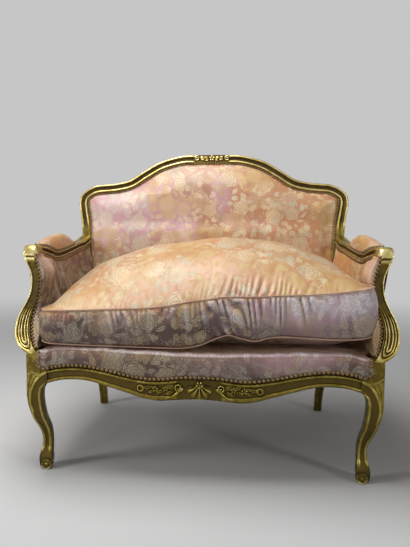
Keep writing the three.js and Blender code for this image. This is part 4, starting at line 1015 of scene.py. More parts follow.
@dataclass(frozen=True)
class Gilding:
    """Old water gilding over a brown bole: gold bared by rubbing with painted highlights on the ridges, grime with
    painted shade in the hollows, and painted shade low down.
    """

    name: str = "antique_gilding"
    hollow: tuple[int, int, int] = (66, 50, 16)
    shade: tuple[int, int, int] = (100, 82, 32)
    body: tuple[int, int, int] = (120, 100, 38)
    bright: tuple[int, int, int] = (196, 174, 90)
    rubbed_highlight: tuple[int, int, int] = (238, 222, 160)

    def build(self, wear_and_light: bpy.types.NodeTree) -> bpy.types.Material:
        """Builds the material from the shared group of rubbing, grime and painted light."""
        shade = Shade(self.name)
        place = shade.place()
        worn_and_lit = shade.group(wear_and_light, place=place, relief=shade.value("relief"), amount=0.8)
        # Stops run from the hollows' grime and painted shade up to the ridges' bared gold and painted highlight
        stops = [(0.1, self.hollow), (0.34, self.shade), (0.56, self.body), (0.8, self.bright), (0.97, self.rubbed_highlight)]
        color = ramp(worn_and_lit["tone"], stops)
        # Painted shade low down: the gilt below the seat rails is made darker and duller
        _, _, height = place.split()
        low = height.step(0.37, 0.28) * 0.75
        color = blend(low, color, blend(1.0, color, (206, 208, 168), "MULTIPLY"))
        color = blend(low * 0.5, color, self.shade)
        shade.set(base_color=color, metallic=worn_and_lit["tone"].step(0.1, 0.5) * 0.3 + 0.55)
        shade.set(roughness=worn_and_lit["tone"].step(1.0, 0.1) * 0.26 + worn_and_lit["grain"] * 0.14 + 0.2)
        shade.bump(worn_and_lit["grain"] * 0.5 + noise(place, 90, 4, 0.6), 0.0006, 0.35)
        return shade.material


@dataclass(frozen=True)
class Brocade:
    """Silk with a floral figure and painted light: golden peach where it faces up, painted shade of dark mauve where it
    faces sideways or down, and painted sheen.
    """

    name: str = "silk_floral_brocade"
    shaded_ground: tuple[int, int, int] = (78, 54, 46)
    middle: tuple[int, int, int] = (186, 132, 106)
    lit_ground: tuple[int, int, int] = (208, 150, 92)
    painted_sheen: tuple[int, int, int] = (212, 170, 182)
    cream: tuple[int, int, int] = (244, 232, 188)
    silver: tuple[int, int, int] = (204, 208, 180)
    gold: tuple[int, int, int] = (212, 182, 92)
    sheen: tuple[int, int, int] = (212, 202, 214)

    def build(self, figure: bpy.types.NodeTree, weave: bpy.types.NodeTree) -> bpy.types.Material:
        """Builds the material from the shared figure and weave groups."""
        shade = Shade(self.name)
        cloth = shade.cloth()
        drawn = shade.group(figure, cloth=cloth)
        thread = shade.group(weave, cloth=cloth, threads=1150.0)
        tone, painted_sheen = shade.value("tone"), shade.value("painted_sheen")
        patches = noise(shade.place(), 5.5, 2, 0.5) - 0.5
        # Painted light: the stored tone runs from painted shade where the cloth faces sideways or down to the lit
        # colour where it faces up
        ground = ramp(tone + patches * 0.35, [(0.0, self.shaded_ground), (0.5, self.middle), (1.0, self.lit_ground)])
        # Painted sheen: pink and lilac patches where the silk would shine
        ground = blend((painted_sheen + patches * 1.2).step(0.15, 0.9) * 0.75, ground, self.painted_sheen)
        # Painted sheen and highlight on fold ridges and the rolled edge, painted shade in the fold valleys
        fold = shade.value("fold")
        ground = blend(fold * 0.5, ground, self.sheen)
        ground = blend(drawn["rose"] * 0.16, ground, self.cream)
        line = ramp(drawn["hue"], [(0.38, self.silver), (0.5, self.cream), (0.62, self.gold)])
        # Painted shade on the figure: its lines turn dull grey where the cloth faces sideways or down
        line = blend(tone.step(0.5, 0.0) * 0.55, line, (158, 140, 136))
        line = blend(fold * 0.8, line, (246, 244, 250))
        color = blend(drawn["figure"] * 0.86, ground, line)
        color = blend(fold * -0.6, color, self.shaded_ground)
        color = blend(thread["warp"] * 0.1, color, (120, 84, 70))
        shade.set(base_color=color, roughness=drawn["figure"] * 0.12 + 0.3)
        shade.set(specular_ior_level=0.7, sheen_weight=0.25, sheen_roughness=0.35, anisotropic=0.5)
        shade.surface.inputs["Sheen Tint"].default_value = linear((250, 214, 196))
        shade.bump(drawn["figure"] * 0.7 + thread["height"] * 0.3, 0.0005, 0.5)
        return shade.material


@dataclass(frozen=True)
class PlainCloth:
    """A plain woven cloth such as piping silk, canvas or webbing."""

    name: str
    light: tuple[int, int, int]
    dark: tuple[int, int, int]
    threads: float
    roughness: float
    sheen: float = 0.2
    depth: float = 0.0004

    def build(self, weave: bpy.types.NodeTree) -> bpy.types.Material:
        """Builds the material from the shared weave group."""
        shade = Shade(self.name)
        cloth = shade.cloth()
        thread = shade.group(weave, cloth=cloth, threads=self.threads)
        soil = noise(shade.place(), 22, 3, 0.6)
        # Painted shade between the threads: the weave's height lightens the crowns and darkens the gaps, besides
        # soiling
        color = blend((soil - 0.5) * 0.9 + thread["height"] * 0.5, self.dark, self.light)
        shade.set(base_color=color, roughness=soil * 0.15 + self.roughness, sheen_weight=self.sheen)
        shade.bump(thread["height"], self.depth, 0.7)
        return shade.material


@dataclass(frozen=True)
class Metal:
    """Metal that is lighter where it stands out and darker where it is sunk: rubbing and grime, with painted highlight
    and painted shade.
    """

    name: str
    light: tuple[int, int, int]
    dark: tuple[int, int, int]
    roughness: float
    scale: float

    def build(self, wear_and_light: bpy.types.NodeTree) -> bpy.types.Material:
        """Builds the material from the shared group of rubbing, grime and painted light."""
        shade = Shade(self.name)
        place = shade.place()
        worn_and_lit = shade.group(wear_and_light, place=place, relief=shade.value("relief"), amount=0.9)
        shade.set(base_color=ramp(worn_and_lit["tone"], [(0.3, self.dark), (0.75, self.light)]), metallic=0.9)
        shade.set(roughness=noise(place, self.scale, 3) * 0.25 + self.roughness)
        shade.bump(noise(place, self.scale * 4, 3), 0.0002, 0.4)
        return shade.material


@dataclass(frozen=True)
class Timber:
    """Plain planed beech inside the frame."""

    name: str = "planed_beech"
    light: tuple[int, int, int] = (196, 154, 106)
    dark: tuple[int, int, int] = (148, 104, 64)

    def build(self) -> bpy.types.Material:
        """Builds the material with rings stretched along X and short pale flecks."""
        shade = Shade(self.name)
        place = shade.place()
        grain = noise(place.vector("MULTIPLY", (1.2, 14.0, 14.0)), 9, 5, 0.6, 0.8)
        fleck = noise(place.vector("MULTIPLY", (8.0, 60.0, 60.0)), 12, 2)
        color = ramp(grain * 0.8 + fleck * 0.2, [(0.36, self.dark), (0.62, self.light)])
        shade.set(base_color=color, roughness=fleck * 0.2 + 0.5)
        shade.bump(grain, 0.0004, 0.4)
        return shade.material


class Finishes:
    """Every material of the chair, made once."""

    def __init__(self) -> None:
        """Builds the shared groups, then the materials."""
        wear_and_light, weave = wear_and_light_group(), weave_group()
        figure = brocade_group()
        self.gilt = Gilding().build(wear_and_light)
        self.silk = Brocade().build(figure, weave)
        self.piping = PlainCloth("piping_silk", (238, 206, 178), (168, 124, 104), 900, 0.4, 0.3).build(weave)
        self.braid = PlainCloth("pale_braid", (206, 190, 158), (120, 100, 74), 700, 0.6).build(weave)
        self.jute = PlainCloth("jute_webbing", (170, 140, 98), (96, 74, 46), 520, 0.85, 0.1, 0.0009).build(weave)
        self.canvas = PlainCloth("linen_canvas", (186, 166, 128), (128, 106, 74), 800, 0.9, 0.1).build(weave)
        self.nail = Metal("bronze_nails", (138, 112, 74), (34, 25, 16), 0.24, 300).build(wear_and_light)
        self.steel = Metal("spring_wire", (150, 142, 130), (82, 66, 52), 0.34, 200).build(wear_and_light)
        self.screw = Metal("iron_screws", (120, 116, 110), (62, 52, 44), 0.4, 260).build(wear_and_light)
        self.beech = Timber().build()


# Gilded frame


@dataclass
class BackFrame:
    """Crest and stiles, each with two beads and a cove between them, and a carved crest."""

    finishes: Finishes
    cove: float = 0.2
    bead: float = 0.1
    carving: float = 0.006
    crest_steps: int = 420
    leg_steps: int = 130

    def section(self) -> tuple[Array, Array]:
        """Section of a member, and how far each of its points stands out."""
        a = np.linspace(0, 0.78, 40)
        depth = np.full_like(a, 0.1)
        depth -= 0.1 * dome(a - 0.115, self.bead) + 0.1 * dome(a - 0.65, self.bead)
        hollow = np.clip((a - 0.22) / 0.33, 0, 1)
        depth += (self.cove - 0.1) * np.sin(np.pi * hollow) ** 0.8
        depth[0] = 0.13
        stand = 1 - depth / 0.1
        rest = [(0.78, 0.22), (0.88, 0.22), (1, 0.22), (1, 0.5), (1, 0.92), (0.97, 0.98), (0.9, 1), (0.5, 1)]
        rest += [(0.1, 1), (0.03, 0.98), (0, 0.92), (0, 0.7), (0, 0.45), (0, 0.25)]
        # Painted shade in the rebate beside the cloth; paler on the back's corners
        side = np.array([-0.9, -0.6, -0.4, 0, 0.5, 0.6, 0.5, 0, 0.5, 0.6, 0.5, 0.1, 0.1, 0.2])
        return np.concatenate([np.stack([a, depth], -1), rest]), np.concatenate([stand, side])

    def crest_carving(self, x: Array, down: Array) -> Array:
        """Height of the carving at the middle of the crest.

        Args:
            x: Distance to the right of the middle.
            down: Distance below the crest's top edge.

        Returns:
            Heights from 0 to 1.
        """
        side = np.abs(x)
        rise = flower(x, down, (0, 0.0125), 0.0125, 5, math.pi / 2)
        for root, turn, long, wide in (
            ((0.01, 0.014), -0.25, 0.024, 0.006), ((0.01, 0.016), 0.35, 0.02, 0.005),
            ((0.028, 0.008), 0.15, 0.022, 0.0055), ((0.026, 0.019), -0.2, 0.022, 0.0045),
        ):
            rise = np.maximum(rise, leaf(side, down, root, turn, long, wide) * 0.9)
        rise = np.maximum(rise, flower(side, down, (0.033, 0.0135), 0.0085, 5) * 0.85)
        rise = np.maximum(rise, volute(side, down, (0.058, 0.0125), 0.0105, -1, -0.4))
        return rise

    def crest(self) -> None:
        """The crest rail from one joint to the other."""
        section, stand = self.section()
        near = PLAN.crest_place - (PLAN.crest_place - PLAN.joint_place) * np.linspace(1, 0, self.crest_steps // 2) ** 1.15
        half = PLAN.back_rings(near, section)
        grid = np.concatenate([half, mirrored(half[-2::-1])])
        relief = np.tile(stand, (len(grid), 1))
        x = grid[:, :1, 0] + 0 * section[:, 0][None]
        down = np.broadcast_to(section[:, 0] * PLAN.member_width, x.shape)
        face = (section[:, 0] <= 0.76) & (section[:, 1] < 0.3)
        share = ease(np.abs(x), 0.074, 0.06) * face
        carved = self.crest_carving(x, down)
        sunk = 0.2 * PLAN.rear_leg_depth
        depth = section[:, 1] * PLAN.rear_leg_depth
        wanted = sunk * 0.8 - self.carving * carved
        grid[..., 1] += share * (wanted - depth[None])
        relief = mix(relief, relief_of(np.where(face, carved, 0)) * 1.3, share)
        piece = lay_grid("crest_moulding", grid, values={"relief": relief}, closed=True)
        soften(piece, 60)
        finish_piece(piece, self.finishes.gilt, ["crest_rail"])

    def legs(self) -> None:
        """The two rear legs, each in one piece with its stile."""
        section, stand = self.section()
        place = np.linspace(0, PLAN.joint_place - 0.004, self.leg_steps)
        grid = PLAN.back_rings(place, section)
        moulded = np.clip(smooth_at(PLAN.stile_table, place)[2], 0, 1)[:, None]
        relief = stand[None] * np.maximum(moulded, 0.15) + 0.25 * (1 - moulded)
        for name, way in (("right", grid), ("left", mirrored(grid))):
            piece = lay_grid(f"rear_leg_stile_{name}", way, values={"relief": relief}, closed=True)
            soften(piece, 60)
            finish_piece(piece, self.finishes.gilt, [f"rear_leg_and_stile_{name}"])

    def build(self) -> None:
        """Builds the crest and the stiles."""
        self.crest()
        self.legs()


@dataclass
class Arms:
    """Arm rails that end in rounded knuckles, and their supports."""

    finishes: Finishes
    rail_steps: int = 150
    post_steps: int = 230
    post_columns: int = 54
    groove: float = 0.0042

    def rail_section(self) -> tuple[Array, Array]:
        """Section of an arm rail: across, up and how far each point stands out."""
        up = np.linspace(-0.02, -1.0, 26)
        dent = 0.1 - 0.1 * dome(up + 0.16, 0.14) - 0.1 * dome(up + 0.86, 0.13)
        dent += 0.1 * np.sin(np.pi * np.clip((-up - 0.3) / 0.42, 0, 1))
        stand = 1 - dent / 0.07
        inner = np.stack([dent, up], -1)
        foot = [(0.15, -1.0), (0.15, -1.4), (0.5, -1.4), (0.85, -1.4), (0.85, -1.0)]
        outer = np.stack([1 - dent[::-1], up[::-1]], -1)
        top = [(0.95, 0.05), (0.86, 0.08), (0.68, 0.08), (0.5, 0.08), (0.32, 0.08), (0.14, 0.08), (0.05, 0.05)]
        section = np.concatenate([inner, foot, outer, top])
        # Painted shade on the underside
        stands = np.concatenate([stand, [-0.8, -0.6, -0.5, -0.6, -0.8], stand[::-1], [0.9, 0.6, 0.1, 0, 0.1, 0.6, 0.9]])
        return section, stands

    def rail(self) -> tuple[Array, Array]:
        """Points and relief of the right arm rail."""
        section, stands = self.rail_section()
        s = np.concatenate([np.linspace(0, 0.955, self.rail_steps), np.linspace(0.96, 1, 26)])
        middle = PLAN.arm_middle(s)
        across, up = section[:, 0][None] - 0.5, section[:, 1][None]
        knuckle = ease(s, 0.8, 0.94)[:, None]
        angle = np.arctan2((up + 0.62) / 0.7, across / 0.5)
        size = (np.abs(np.cos(angle)) ** 3.2 + np.abs(np.sin(angle)) ** 3.2) ** (-1 / 3.2)
        across = mix(across, 0.5 * size * np.cos(angle), knuckle)
        up = mix(up, np.where(up < -1.2, up, 0.7 * size * np.sin(angle) - 0.62), knuckle)
        turn = np.clip((s - 0.96) / 0.04, 0, 1)[:, None]
        round_over = np.sqrt(np.clip(1 - turn**2.4, 0, 1))
        narrow = mix(1, np.maximum(round_over, 0.5), turn > 0)
        x = middle[:, :1] + PLAN.arm_width * across * (0.6 + 0.4 * narrow)
        post_outer, post_width, *_ = PLAN.post(np.array(1.0))
        beneath = post_outer - post_width / 2 + post_width * 1.02 * across
        x = mix(x, beneath, knuckle * ease(-up, 0.1, 1.1))
        seated = (up < -1.2) & (s[:, None] > PLAN.arm_seat_share)
        low = PLAN.arm_seat_z
        z = np.where(seated, low, middle[:, 2:3] + PLAN.arm_gilt * up)
        front = s[:, None] > 0.96
        z = np.where(front, low + (np.maximum(z, low) - low) * (0.25 + 0.75 * round_over), z)
        rear = PLAN.back_y(x, z) - 0.0003
        y = np.minimum(middle[:, 1:2] + 0 * x, rear)
        y[0] = rear[0]
        grid, relief = points(x, y, z), np.tile(stands, (len(s), 1))
        relief = mix(relief, 0.45, knuckle)
        relief[-14:] = 0.9
        eye = grid[-1].mean(axis=0)
        for share, deep, stand in ((0.9, 0.0, 1.0), (0.8, 0.0012, 0.3), (0.7, 0.0028, -0.5), (0.4, 0.003, -0.6), (0.02, 0.0026, -0.4)):
            grid = np.concatenate([grid, [eye + (grid[len(s) - 1] - eye) * share + [0, deep, 0]]])
            relief = np.concatenate([relief, np.full((1, len(stands)), stand)])
        return grid, relief

    def post_face(self, a: Array, s: Array) -> Array:
        """Depth of the nested mouldings on a support's face, from 0 on a ridge to 1."""
        floor = 0.13
        middle = 0.56
        half = 0.38
        below = np.clip((floor - s) / 0.105, 0, None)
        q = np.hypot((a - middle) / half, below)
        nested = ease(s, 0.56, 0.36)
        ridges = dome(q - 1.0, 0.16) + (dome(q - 0.62, 0.12) + dome(q - 0.24, 0.14)) * nested
        grooves = np.where(q < 1, 1 - ridges, 0.25 + 0.3 * np.clip((q - 1.16) / 0.4, 0, 1) - 0.25 * dome(q - 1, 0.16))
        return np.clip(grooves, 0, 1)

    def post(self) -> tuple[Array, Array]:
        """Points and relief of the right arm support."""
        s = np.linspace(0, 1, self.post_steps)
        outer, width, front, depth, z = (v[:, None] for v in PLAN.post(s))
        a = np.linspace(0.2, 1.0, self.post_columns)
        sunk = self.post_face(a[None], s[:, None])
        fade = ease(s, 1.0, 0.93)[:, None]
        face = points(outer - width * (1 - a[None]), front + self.groove * sunk * fade + 0 * a[None], z)
        rest = np.array([(1, 0.2), (1, 0.5), (1, 0.88), (0.96, 0.97), (0.88, 1), (0.5, 1), (0.08, 1), (0, 0.92),
                         (0, 0.5), (0, 0.22), (0.1, 0.2), (0.195, 0.2)])
        back = points(outer - width * (1 - rest[:, 0][None]), front + depth * rest[:, 1][None], z + 0 * rest[:, 0][None])
        # Painted shade on the inner side beside the arm pad
        relief = np.concatenate([1 - 1.55 * sunk * fade, np.tile([0.4, 0.2, 0.3, 0.5, 0.2, 0, 0, 0.2, -0.3, -0.7, -0.8, -0.6],
                                                              (len(s), 1))], axis=1)
        return np.concatenate([face, back], axis=1), relief

    def build(self) -> None:
        """Builds both arms."""
        rail, rail_relief = self.rail()
        post, post_relief = self.post()
        for name, turn in (("right", lambda g: g), ("left", mirrored)):
            piece = lay_grid(f"arm_rail_gilt_{name}", turn(rail), values={"relief": rail_relief}, closed=True)
            soften(piece, 55)
            finish_piece(piece, self.finishes.gilt, [f"arm_rail_{name}"])
            piece = lay_grid(f"arm_support_gilt_{name}", turn(post), values={"relief": post_relief}, closed=True)
            soften(piece, 60)
            finish_piece(piece, self.finishes.gilt, [f"arm_support_{name}"])


@dataclass
class SeatRails:
    """Apron with a shell, C-scrolls and sprays of flowers, and plain moulded side rails."""

    finishes: Finishes
    columns: int = 64
    sunk: float = 0.0062
    carved: float = 0.0068
    bead: float = 0.0052

    def moulding(self, up: Array, height: Array, thick: Array | float = 1.0) -> Array:
        """How far a rail's face stands forward between its beads.

        Args:
            up: Height above the underside.
            height: Height of the gilt face.
            thick: Size of the lower bead, as a share.

        Returns:
            0 in the hollow and 1 on a bead.
        """
        low = self.bead * thick
        lower = dome(up - low, low)
        upper = dome(up - (height - self.bead * 0.85), self.bead * 0.85)
        edge = np.clip(1 - np.abs(2 * up / height - 1), 0, 1)
        return np.maximum(np.maximum(lower, upper), 0.3 * (1 - edge) ** 2)

    def apron_carving(self, x: Array, z: Array) -> tuple[Array, Array]:
        """Heights of the apron's carving, and where it takes the place of the mouldings."""
        side = np.abs(x)
        under, top = PLAN.front_edges(np.zeros(1))[:, 0]
        middle = (under + top) / 2
        rise = np.zeros_like(x)
        hinge = (0.0, top - 0.012)
        dx, dz = side - hinge[0], hinge[1] - z
        reach, angle = np.hypot(dx, dz), np.arctan2(dx, dz)
        ribs = 0.5 + 0.5 * np.cos(angle * 13.6)
        edge = 0.046 * (0.9 + 0.1 * ribs) * (1 - 0.16 * (np.abs(angle) / 1.3) ** 2)
        fan = (reach < edge) & (np.abs(angle) < 1.36) & (reach > 0.006)
        lip = np.clip((edge - reach) / 0.003, 0, 1)
        shell = (0.3 + 0.7 * ribs**0.7) * (0.35 + 0.65 * np.sin(np.pi * np.clip(reach / edge, 0, 1) ** 0.8)) * lip
        rise = np.where(fan, shell * 1.15, rise)
        rise = np.maximum(rise, flower(x, z, (0.0, top - 0.0135), 0.0125, 5, math.pi / 2) * 1.25)
        t = np.linspace(0, 1, 26)
        sweep = np.stack([mix(0.085, 0.05, t), mix(under + 0.002, under + 0.028, t**2.2)], axis=-1)
        rise = np.maximum(rise, bead_along(side, z, sweep, 0.0052) * 1.15)
        rise = np.maximum(rise, volute(side, z, (0.0555, under + 0.031), 0.0115, 1, -2.9) * 1.2)
        for root, turn, long, wide in (
            ((0.066, middle + 0.004), 0.1, 0.03, 0.0085), ((0.07, middle - 0.006), -0.5, 0.024, 0.007),
            ((0.092, middle + 0.002), 0.45, 0.026, 0.0065), ((0.094, middle - 0.004), -0.35, 0.028, 0.007),
            ((0.118, middle), 0.3, 0.022, 0.0055), ((0.12, middle - 0.005), -0.45, 0.02, 0.0055),
            ((0.14, middle - 0.001), 0.12, 0.026, 0.0055),
        ):
            rise = np.maximum(rise, leaf(side, z, root, turn, long, wide) * 0.85)
        for spot, radius in (((0.09, middle), 0.0095), ((0.118, middle - 0.002), 0.0105), ((0.139, middle + 0.001), 0.008)):
            rise = np.maximum(rise, flower(side, z, spot, radius, 5, spot[0] * 40))
        ring = np.hypot(side - 0.158, z - middle + 0.001)
        rise = np.maximum(rise, dome(ring - 0.0075, 0.0032) * 0.9)
        return rise, ease(side, 0.064, 0.054)

    def rings(self, x: Array, y: Array, out: tuple[Array, Array], edges: Array, carve: bool) -> tuple[Array, Array]:
        """Sections of a rail with a detailed face.

        Args:
            x: Places along the rail.
            y: Face of the rail at those places.
            out: The way out of the face, two parts.
            edges: Underside and gilt edge at those places.
            carve: Whether the face is carved.

        Returns:
            Points and relief.
        """
        t = np.linspace(0, 1, self.columns)
        under, top = edges[0][:, None], edges[1][:, None]
        z = mix(under, top, t[None])
        if carve:
            thick = 1 + 0.35 * ease(np.abs(x), 0.3, 0.08)[:, None]
            stand = self.moulding(z - under, top - under, thick)
            rise, whole = self.apron_carving(x[:, None] + 0 * z, z)
            stand = np.maximum(stand * (1 - whole), 0)
            proud = np.where(rise > 0.02, np.maximum(rise * self.carved / self.sunk, stand), stand)
        else:
            proud = self.moulding(z - under, top - under)
        back = self.sunk * (1 - proud)
        relief = relief_of(proud, 4)
        relief = 0.55 * relief + 0.45 * (2 * np.clip(proud, 0, 1) - 1)
        rest = [(0.003, top), (PLAN.tacking_recess, top), (PLAN.tacking_recess, 0 * top + PLAN.rail_top),
                (PLAN.rail_thickness, 0 * top + PLAN.rail_top), (PLAN.rail_thickness, 0 * top + PLAN.webbing_ledge),
                (PLAN.moulding_thickness, 0 * top + PLAN.webbing_ledge), (PLAN.moulding_thickness, under),
                (0.012, under)]
        back = np.concatenate([back] + [np.full_like(top, b) for b, _ in rest], axis=1)
        z = np.concatenate([z] + [h for _, h in rest], axis=1)
        # Painted shade on the recess, top, inside and underside
        relief = np.concatenate([relief, np.tile([0.2, -0.5, -0.6, -0.5, -0.5, -0.6, -0.4, 0.0], (len(x), 1))], axis=1)
        return points(x[:, None] - out[0][:, None] * back, y[:, None] - out[1][:, None] * back, z), relief

    def front(self) -> None:
        """The carved front rail."""
        end = PLAN.leg_inner_x - 0.0003
        half = np.concatenate([np.linspace(0, 0.17, 200), np.linspace(0.172, end, 70)])
        x = np.concatenate([-half[:0:-1], half])
        y = PLAN.front_face_y(x)
        grid, relief = self.rings(x, y, (0 * x, -np.ones_like(x)), PLAN.front_edges(x), True)
        piece = lay_grid("front_rail_carved", grid, values={"relief": relief}, closed=True)
        soften(piece, 60)
        finish_piece(piece, self.finishes.gilt, ["front_rail"])

    def sides(self) -> None:
        """The two side rails."""
        y = np.linspace(PLAN.leg_back_y + 0.0003, PLAN.rear_leg_front_y - 0.0003, 110)
        x = PLAN.side_face_x(y)
        grid, relief = self.rings(x, y, (np.ones_like(x), 0 * x), PLAN.side_edges(y), False)
        reach = PLAN.rear_leg_face_y(grid[-1, :, 2]) - 0.0003
        share = ease(grid[..., 1], PLAN.rear_leg_front_y - 0.06, PLAN.rear_leg_front_y)
        grid[..., 1] += share * (reach[None] - PLAN.rear_leg_front_y)
        for name, way in (("right", grid), ("left", mirrored(grid))):
            piece = lay_grid(f"side_rail_gilt_{name}", way, values={"relief": relief}, closed=True)
            soften(piece, 60)
            finish_piece(piece, self.finishes.gilt, [f"side_rail_{name}"])

    def build(self) -> None:
        """Builds the rails. The rear rail keeps its solid's shape."""
        self.front()
        self.sides()


@dataclass
class FrontLegs:
    """Cabriole legs: a hollow face between two beads, a fluted knee and a scrolled toe."""

    finishes: Finishes
    steps: int = 250
    face_columns: int = 52
    side_columns: int = 44
    sunk: float = 0.0036
    flute: float = 0.0034

    def face(self, x: Array, z: Array, inner: Array, outer: Array) -> Array:
        """How far a leg's face stands forward.

        Args:
            x: Distance from the middle of the chair.
            z: Height.
            inner: Inner edge of the face there.
            outer: Outer edge there.

        Returns:
            0 in the hollow, 1 on a bead.
        """
        radius = 0.0046
        knee = ease(z, 0.2, 0.285)
        inside = dome(x - inner - radius, radius) * ease(z, 0.262, 0.25)
        path = np.array([[0.47, 0.15], [0.4705, 0.2], [0.466, 0.232], [0.455, 0.258], [0.44, 0.276], [0.415, 0.291]])
        path[:, 0] += np.interp(path[:, 1], z[:, 0], outer[:, 0]) - PLAN.knee_x
        over = bead_along(x, z, even_line(path, 24), 0.0042)
        outside = np.where(z < 0.17, dome(outer - x - radius, radius), over * ease(z, 0.15, 0.17))
        beside = x - np.interp(z, path[:, 1], path[:, 0])
        room = np.maximum(outer - np.interp(z, path[:, 1], path[:, 0]), 1e-4)
        flutes = 0.25 + 0.75 * np.abs(np.cos(np.pi * 2.5 * beside / room)) ** 0.6
        fringe = ease(z, 0.162, 0.176) * ease(z, 0.292, 0.284) * (beside > 0.002)
        rise = np.maximum(np.maximum(inside, outside), 0.86 * flutes * fringe)
        slant = np.array([[0.416, 0.289], [0.432, 0.283], [0.444, 0.2795], [0.46, 0.288], [0.48, 0.3]])
        rise = np.maximum(rise, bead_along(x, z, slant, 0.004))
        block = ease(z - np.interp(x, slant[:, 0], slant[:, 1]), 0.0, 0.004)
        rise = np.maximum(rise, 0.5 * block * (x > 0.437))
        fade = ease(z, 0.035, 0.055)
        return np.where(knee > 0, rise, rise * fade)

    def knee(self, deep: Array, z: Array) -> Array:
        """How far the fluted leaf on a knee's outer side stands out, from 0 in a slit to 1."""
        root, tip = 0.276, 0.165
        long = np.clip((root - z) / (root - tip), 0, 1)
        wide = 0.46 * np.sin(np.pi * np.clip(0.2 + 0.8 * (1 - long), 0, 1) * 0.62)
        across = (deep - 0.5) / np.maximum(wide, 1e-3)
        ribs = 0.5 + 0.5 * np.cos(across * np.pi * 4.0)
        inside = ease(np.abs(across), 1.05, 0.92) * ease(z, tip, tip + 0.012) * ease(z, root + 0.004, root - 0.004)
        return inside * (0.25 + 0.75 * ribs**0.6)

    def leg(self) -> tuple[Array, Array]:
        """Points and relief of the right front leg."""
        share = np.linspace(0.012, 1, self.steps)
        sweep, shaft, block = smooth_at(PLAN.leg_table, share)
        side = (PLAN.knee_side * shaft + (PLAN.block_side - PLAN.knee_side) * block)[:, None]
        outer = (PLAN.knee_x - PLAN.sweep_x * sweep)[:, None]
        front = (PLAN.knee_front_y + PLAN.sweep_y * sweep)[:, None]
        z = (PLAN.leg_height * share)[:, None]
        a = np.linspace(0.02, 0.98, self.face_columns)[None]
        x = outer - side * (1 - a)
        rise = self.face(x, z + 0 * x, outer - side, outer)
        face = points(x, front + self.sunk * (1 - rise), z)
        b = np.linspace(0.03, 0.97, self.side_columns)[None]
        stand = self.knee(b, z)
        corner = 0.0014 * (1 - dome(2 * b - 1, 1.02))
        cheek = points(outer - corner * 2 - self.flute * (1 - stand) * ease(z, 0.14, 0.17) * ease(z, 0.29, 0.28), front + side * b, z)
        rest = np.array([(0.93, 1), (0.5, 1), (0.07, 1), (0, 0.93), (0, 0.6), (0, 0.3), (0, 0.08)])
        back = points(outer - side * (1 - rest[:, 0][None]), front + side * rest[:, 1][None], z)
        low = np.array([0.4, 0.1, 0.4, 0.4, 0.0, 0.0, 0.4])
        relief = np.concatenate([1.25 * rise - 0.35, np.where(z < 0.29, 1.3 * stand - 0.4, 0.3) + 0 * b, np.tile(low, (len(z), 1))], axis=1)
        return np.concatenate([face, cheek, back], axis=1), relief

    def toe(self) -> tuple[Array, Array]:
        """Points and relief of the right leg's scrolled toe with its rosette."""
        middle = np.array([PLAN.knee_x - PLAN.sweep_x * 0.92 - 0.017, 0.0, 0.0145])
        front = PLAN.knee_front_y + PLAN.sweep_y * 0.66
        angle = np.linspace(0, TAU, 61)[:-1]
        rows = [(0.0, 0.001), (0.1, 0.0), (0.22, 0.0005), (0.3, 0.0022), (0.42, 0.0012), (0.58, 0.0022), (0.7, 0.0024),
                (0.78, 0.0006), (0.9, 0.0), (0.98, 0.0016), (1.0, 0.004), (1.0, 0.012), (0.97, 0.02), (0.9, 0.026), (0.4, 0.027), (0.0, 0.027)]
        grid, relief = [], []
        for share, deep in rows:
            petal = 0.0012 * np.cos(angle * 6) * math.sin(math.pi * min(max((share - 0.3) / 0.4, 0), 1))
            reach = 0.0145 * share
            grid.append(points(middle[0] + reach * 1.05 * np.cos(angle), front + deep - petal, middle[2] + reach * np.sin(angle)))
            relief.append(np.full(60, 1 - deep / 0.0015 if deep < 0.003 else 0.1) + petal * 300)
        return np.array(grid), np.clip(np.array(relief), -1, 1)

    def build(self) -> None:
        """Builds both legs."""
        leg, relief = self.leg()
        toe, toe_relief = self.toe()
        for name, turn in (("right", lambda g: g), ("left", mirrored)):
            parts = [
                lay_grid("leg", turn(leg), values={"relief": relief}, closed=True),
                lay_grid("toe", turn(toe), values={"relief": toe_relief}, closed=True),
            ]
            piece = join_all(f"cabriole_leg_{name}", parts)
            soften(piece, 55)
            finish_piece(piece, self.finishes.gilt, [f"front_leg_{name}"])


# Upholstery


def wrinkled(places: Array, scale: float, seed: int = 0) -> Array:
    """Seeded smooth waves over places, about -1 to 1.

    Args:
        places: Points, last axis of any length.
        scale: Waves in each metre.
        seed: Which waves.

    Returns:
        Heights in the points' shape less the last axis.
    """
    draw = np.random.default_rng(SEED + seed)
    total = np.zeros(places.shape[:-1])
    for _ in range(7):
        way = draw.normal(size=places.shape[-1])
        way *= scale * TAU * draw.uniform(0.6, 1.5) / np.linalg.norm(way)
        total += np.sin(places @ way + draw.uniform(0, TAU))
    return total / 3.2


def puckers(along: Array, off: Array, pitch: float, reach: float) -> Array:
    """Small pulls of cloth at a row of nails: 1 in a pull at the edge, fading inwards."""
    return (0.5 + 0.5 * np.cos(TAU * along / pitch)) * np.exp(-((off / reach) ** 2))


def slab(front: Array, back: Array) -> Array:
    """Rings round a pad that has a front and a back grid."""
    return np.concatenate([front, back[:, ::-1]], axis=1)


def silk_values(piece: bpy.types.Object, base: float, lift: float, painted_sheen: Callable[[Array], Array]) -> None:
    """Stores painted light for the silk's ground: lighter where it faces up, painted shade where it faces sideways or
    down.

    Args:
        piece: A finished silk piece.
        base: Tone where it faces sideways, low for painted shade.
        lift: Painted light added where it faces up.
        painted_sheen: Painted pink and lilac sheen in patches, as a function of the points.
    """
    spots, normals = places_of(piece), normals_of(piece)
    set_values(piece, "tone", base + lift * ease(normals[:, 2], 0.0, 0.8) - 0.3 * ease(-normals[:, 2], 0.1, 0.8))
    set_values(piece, "painted_sheen", painted_sheen(spots))


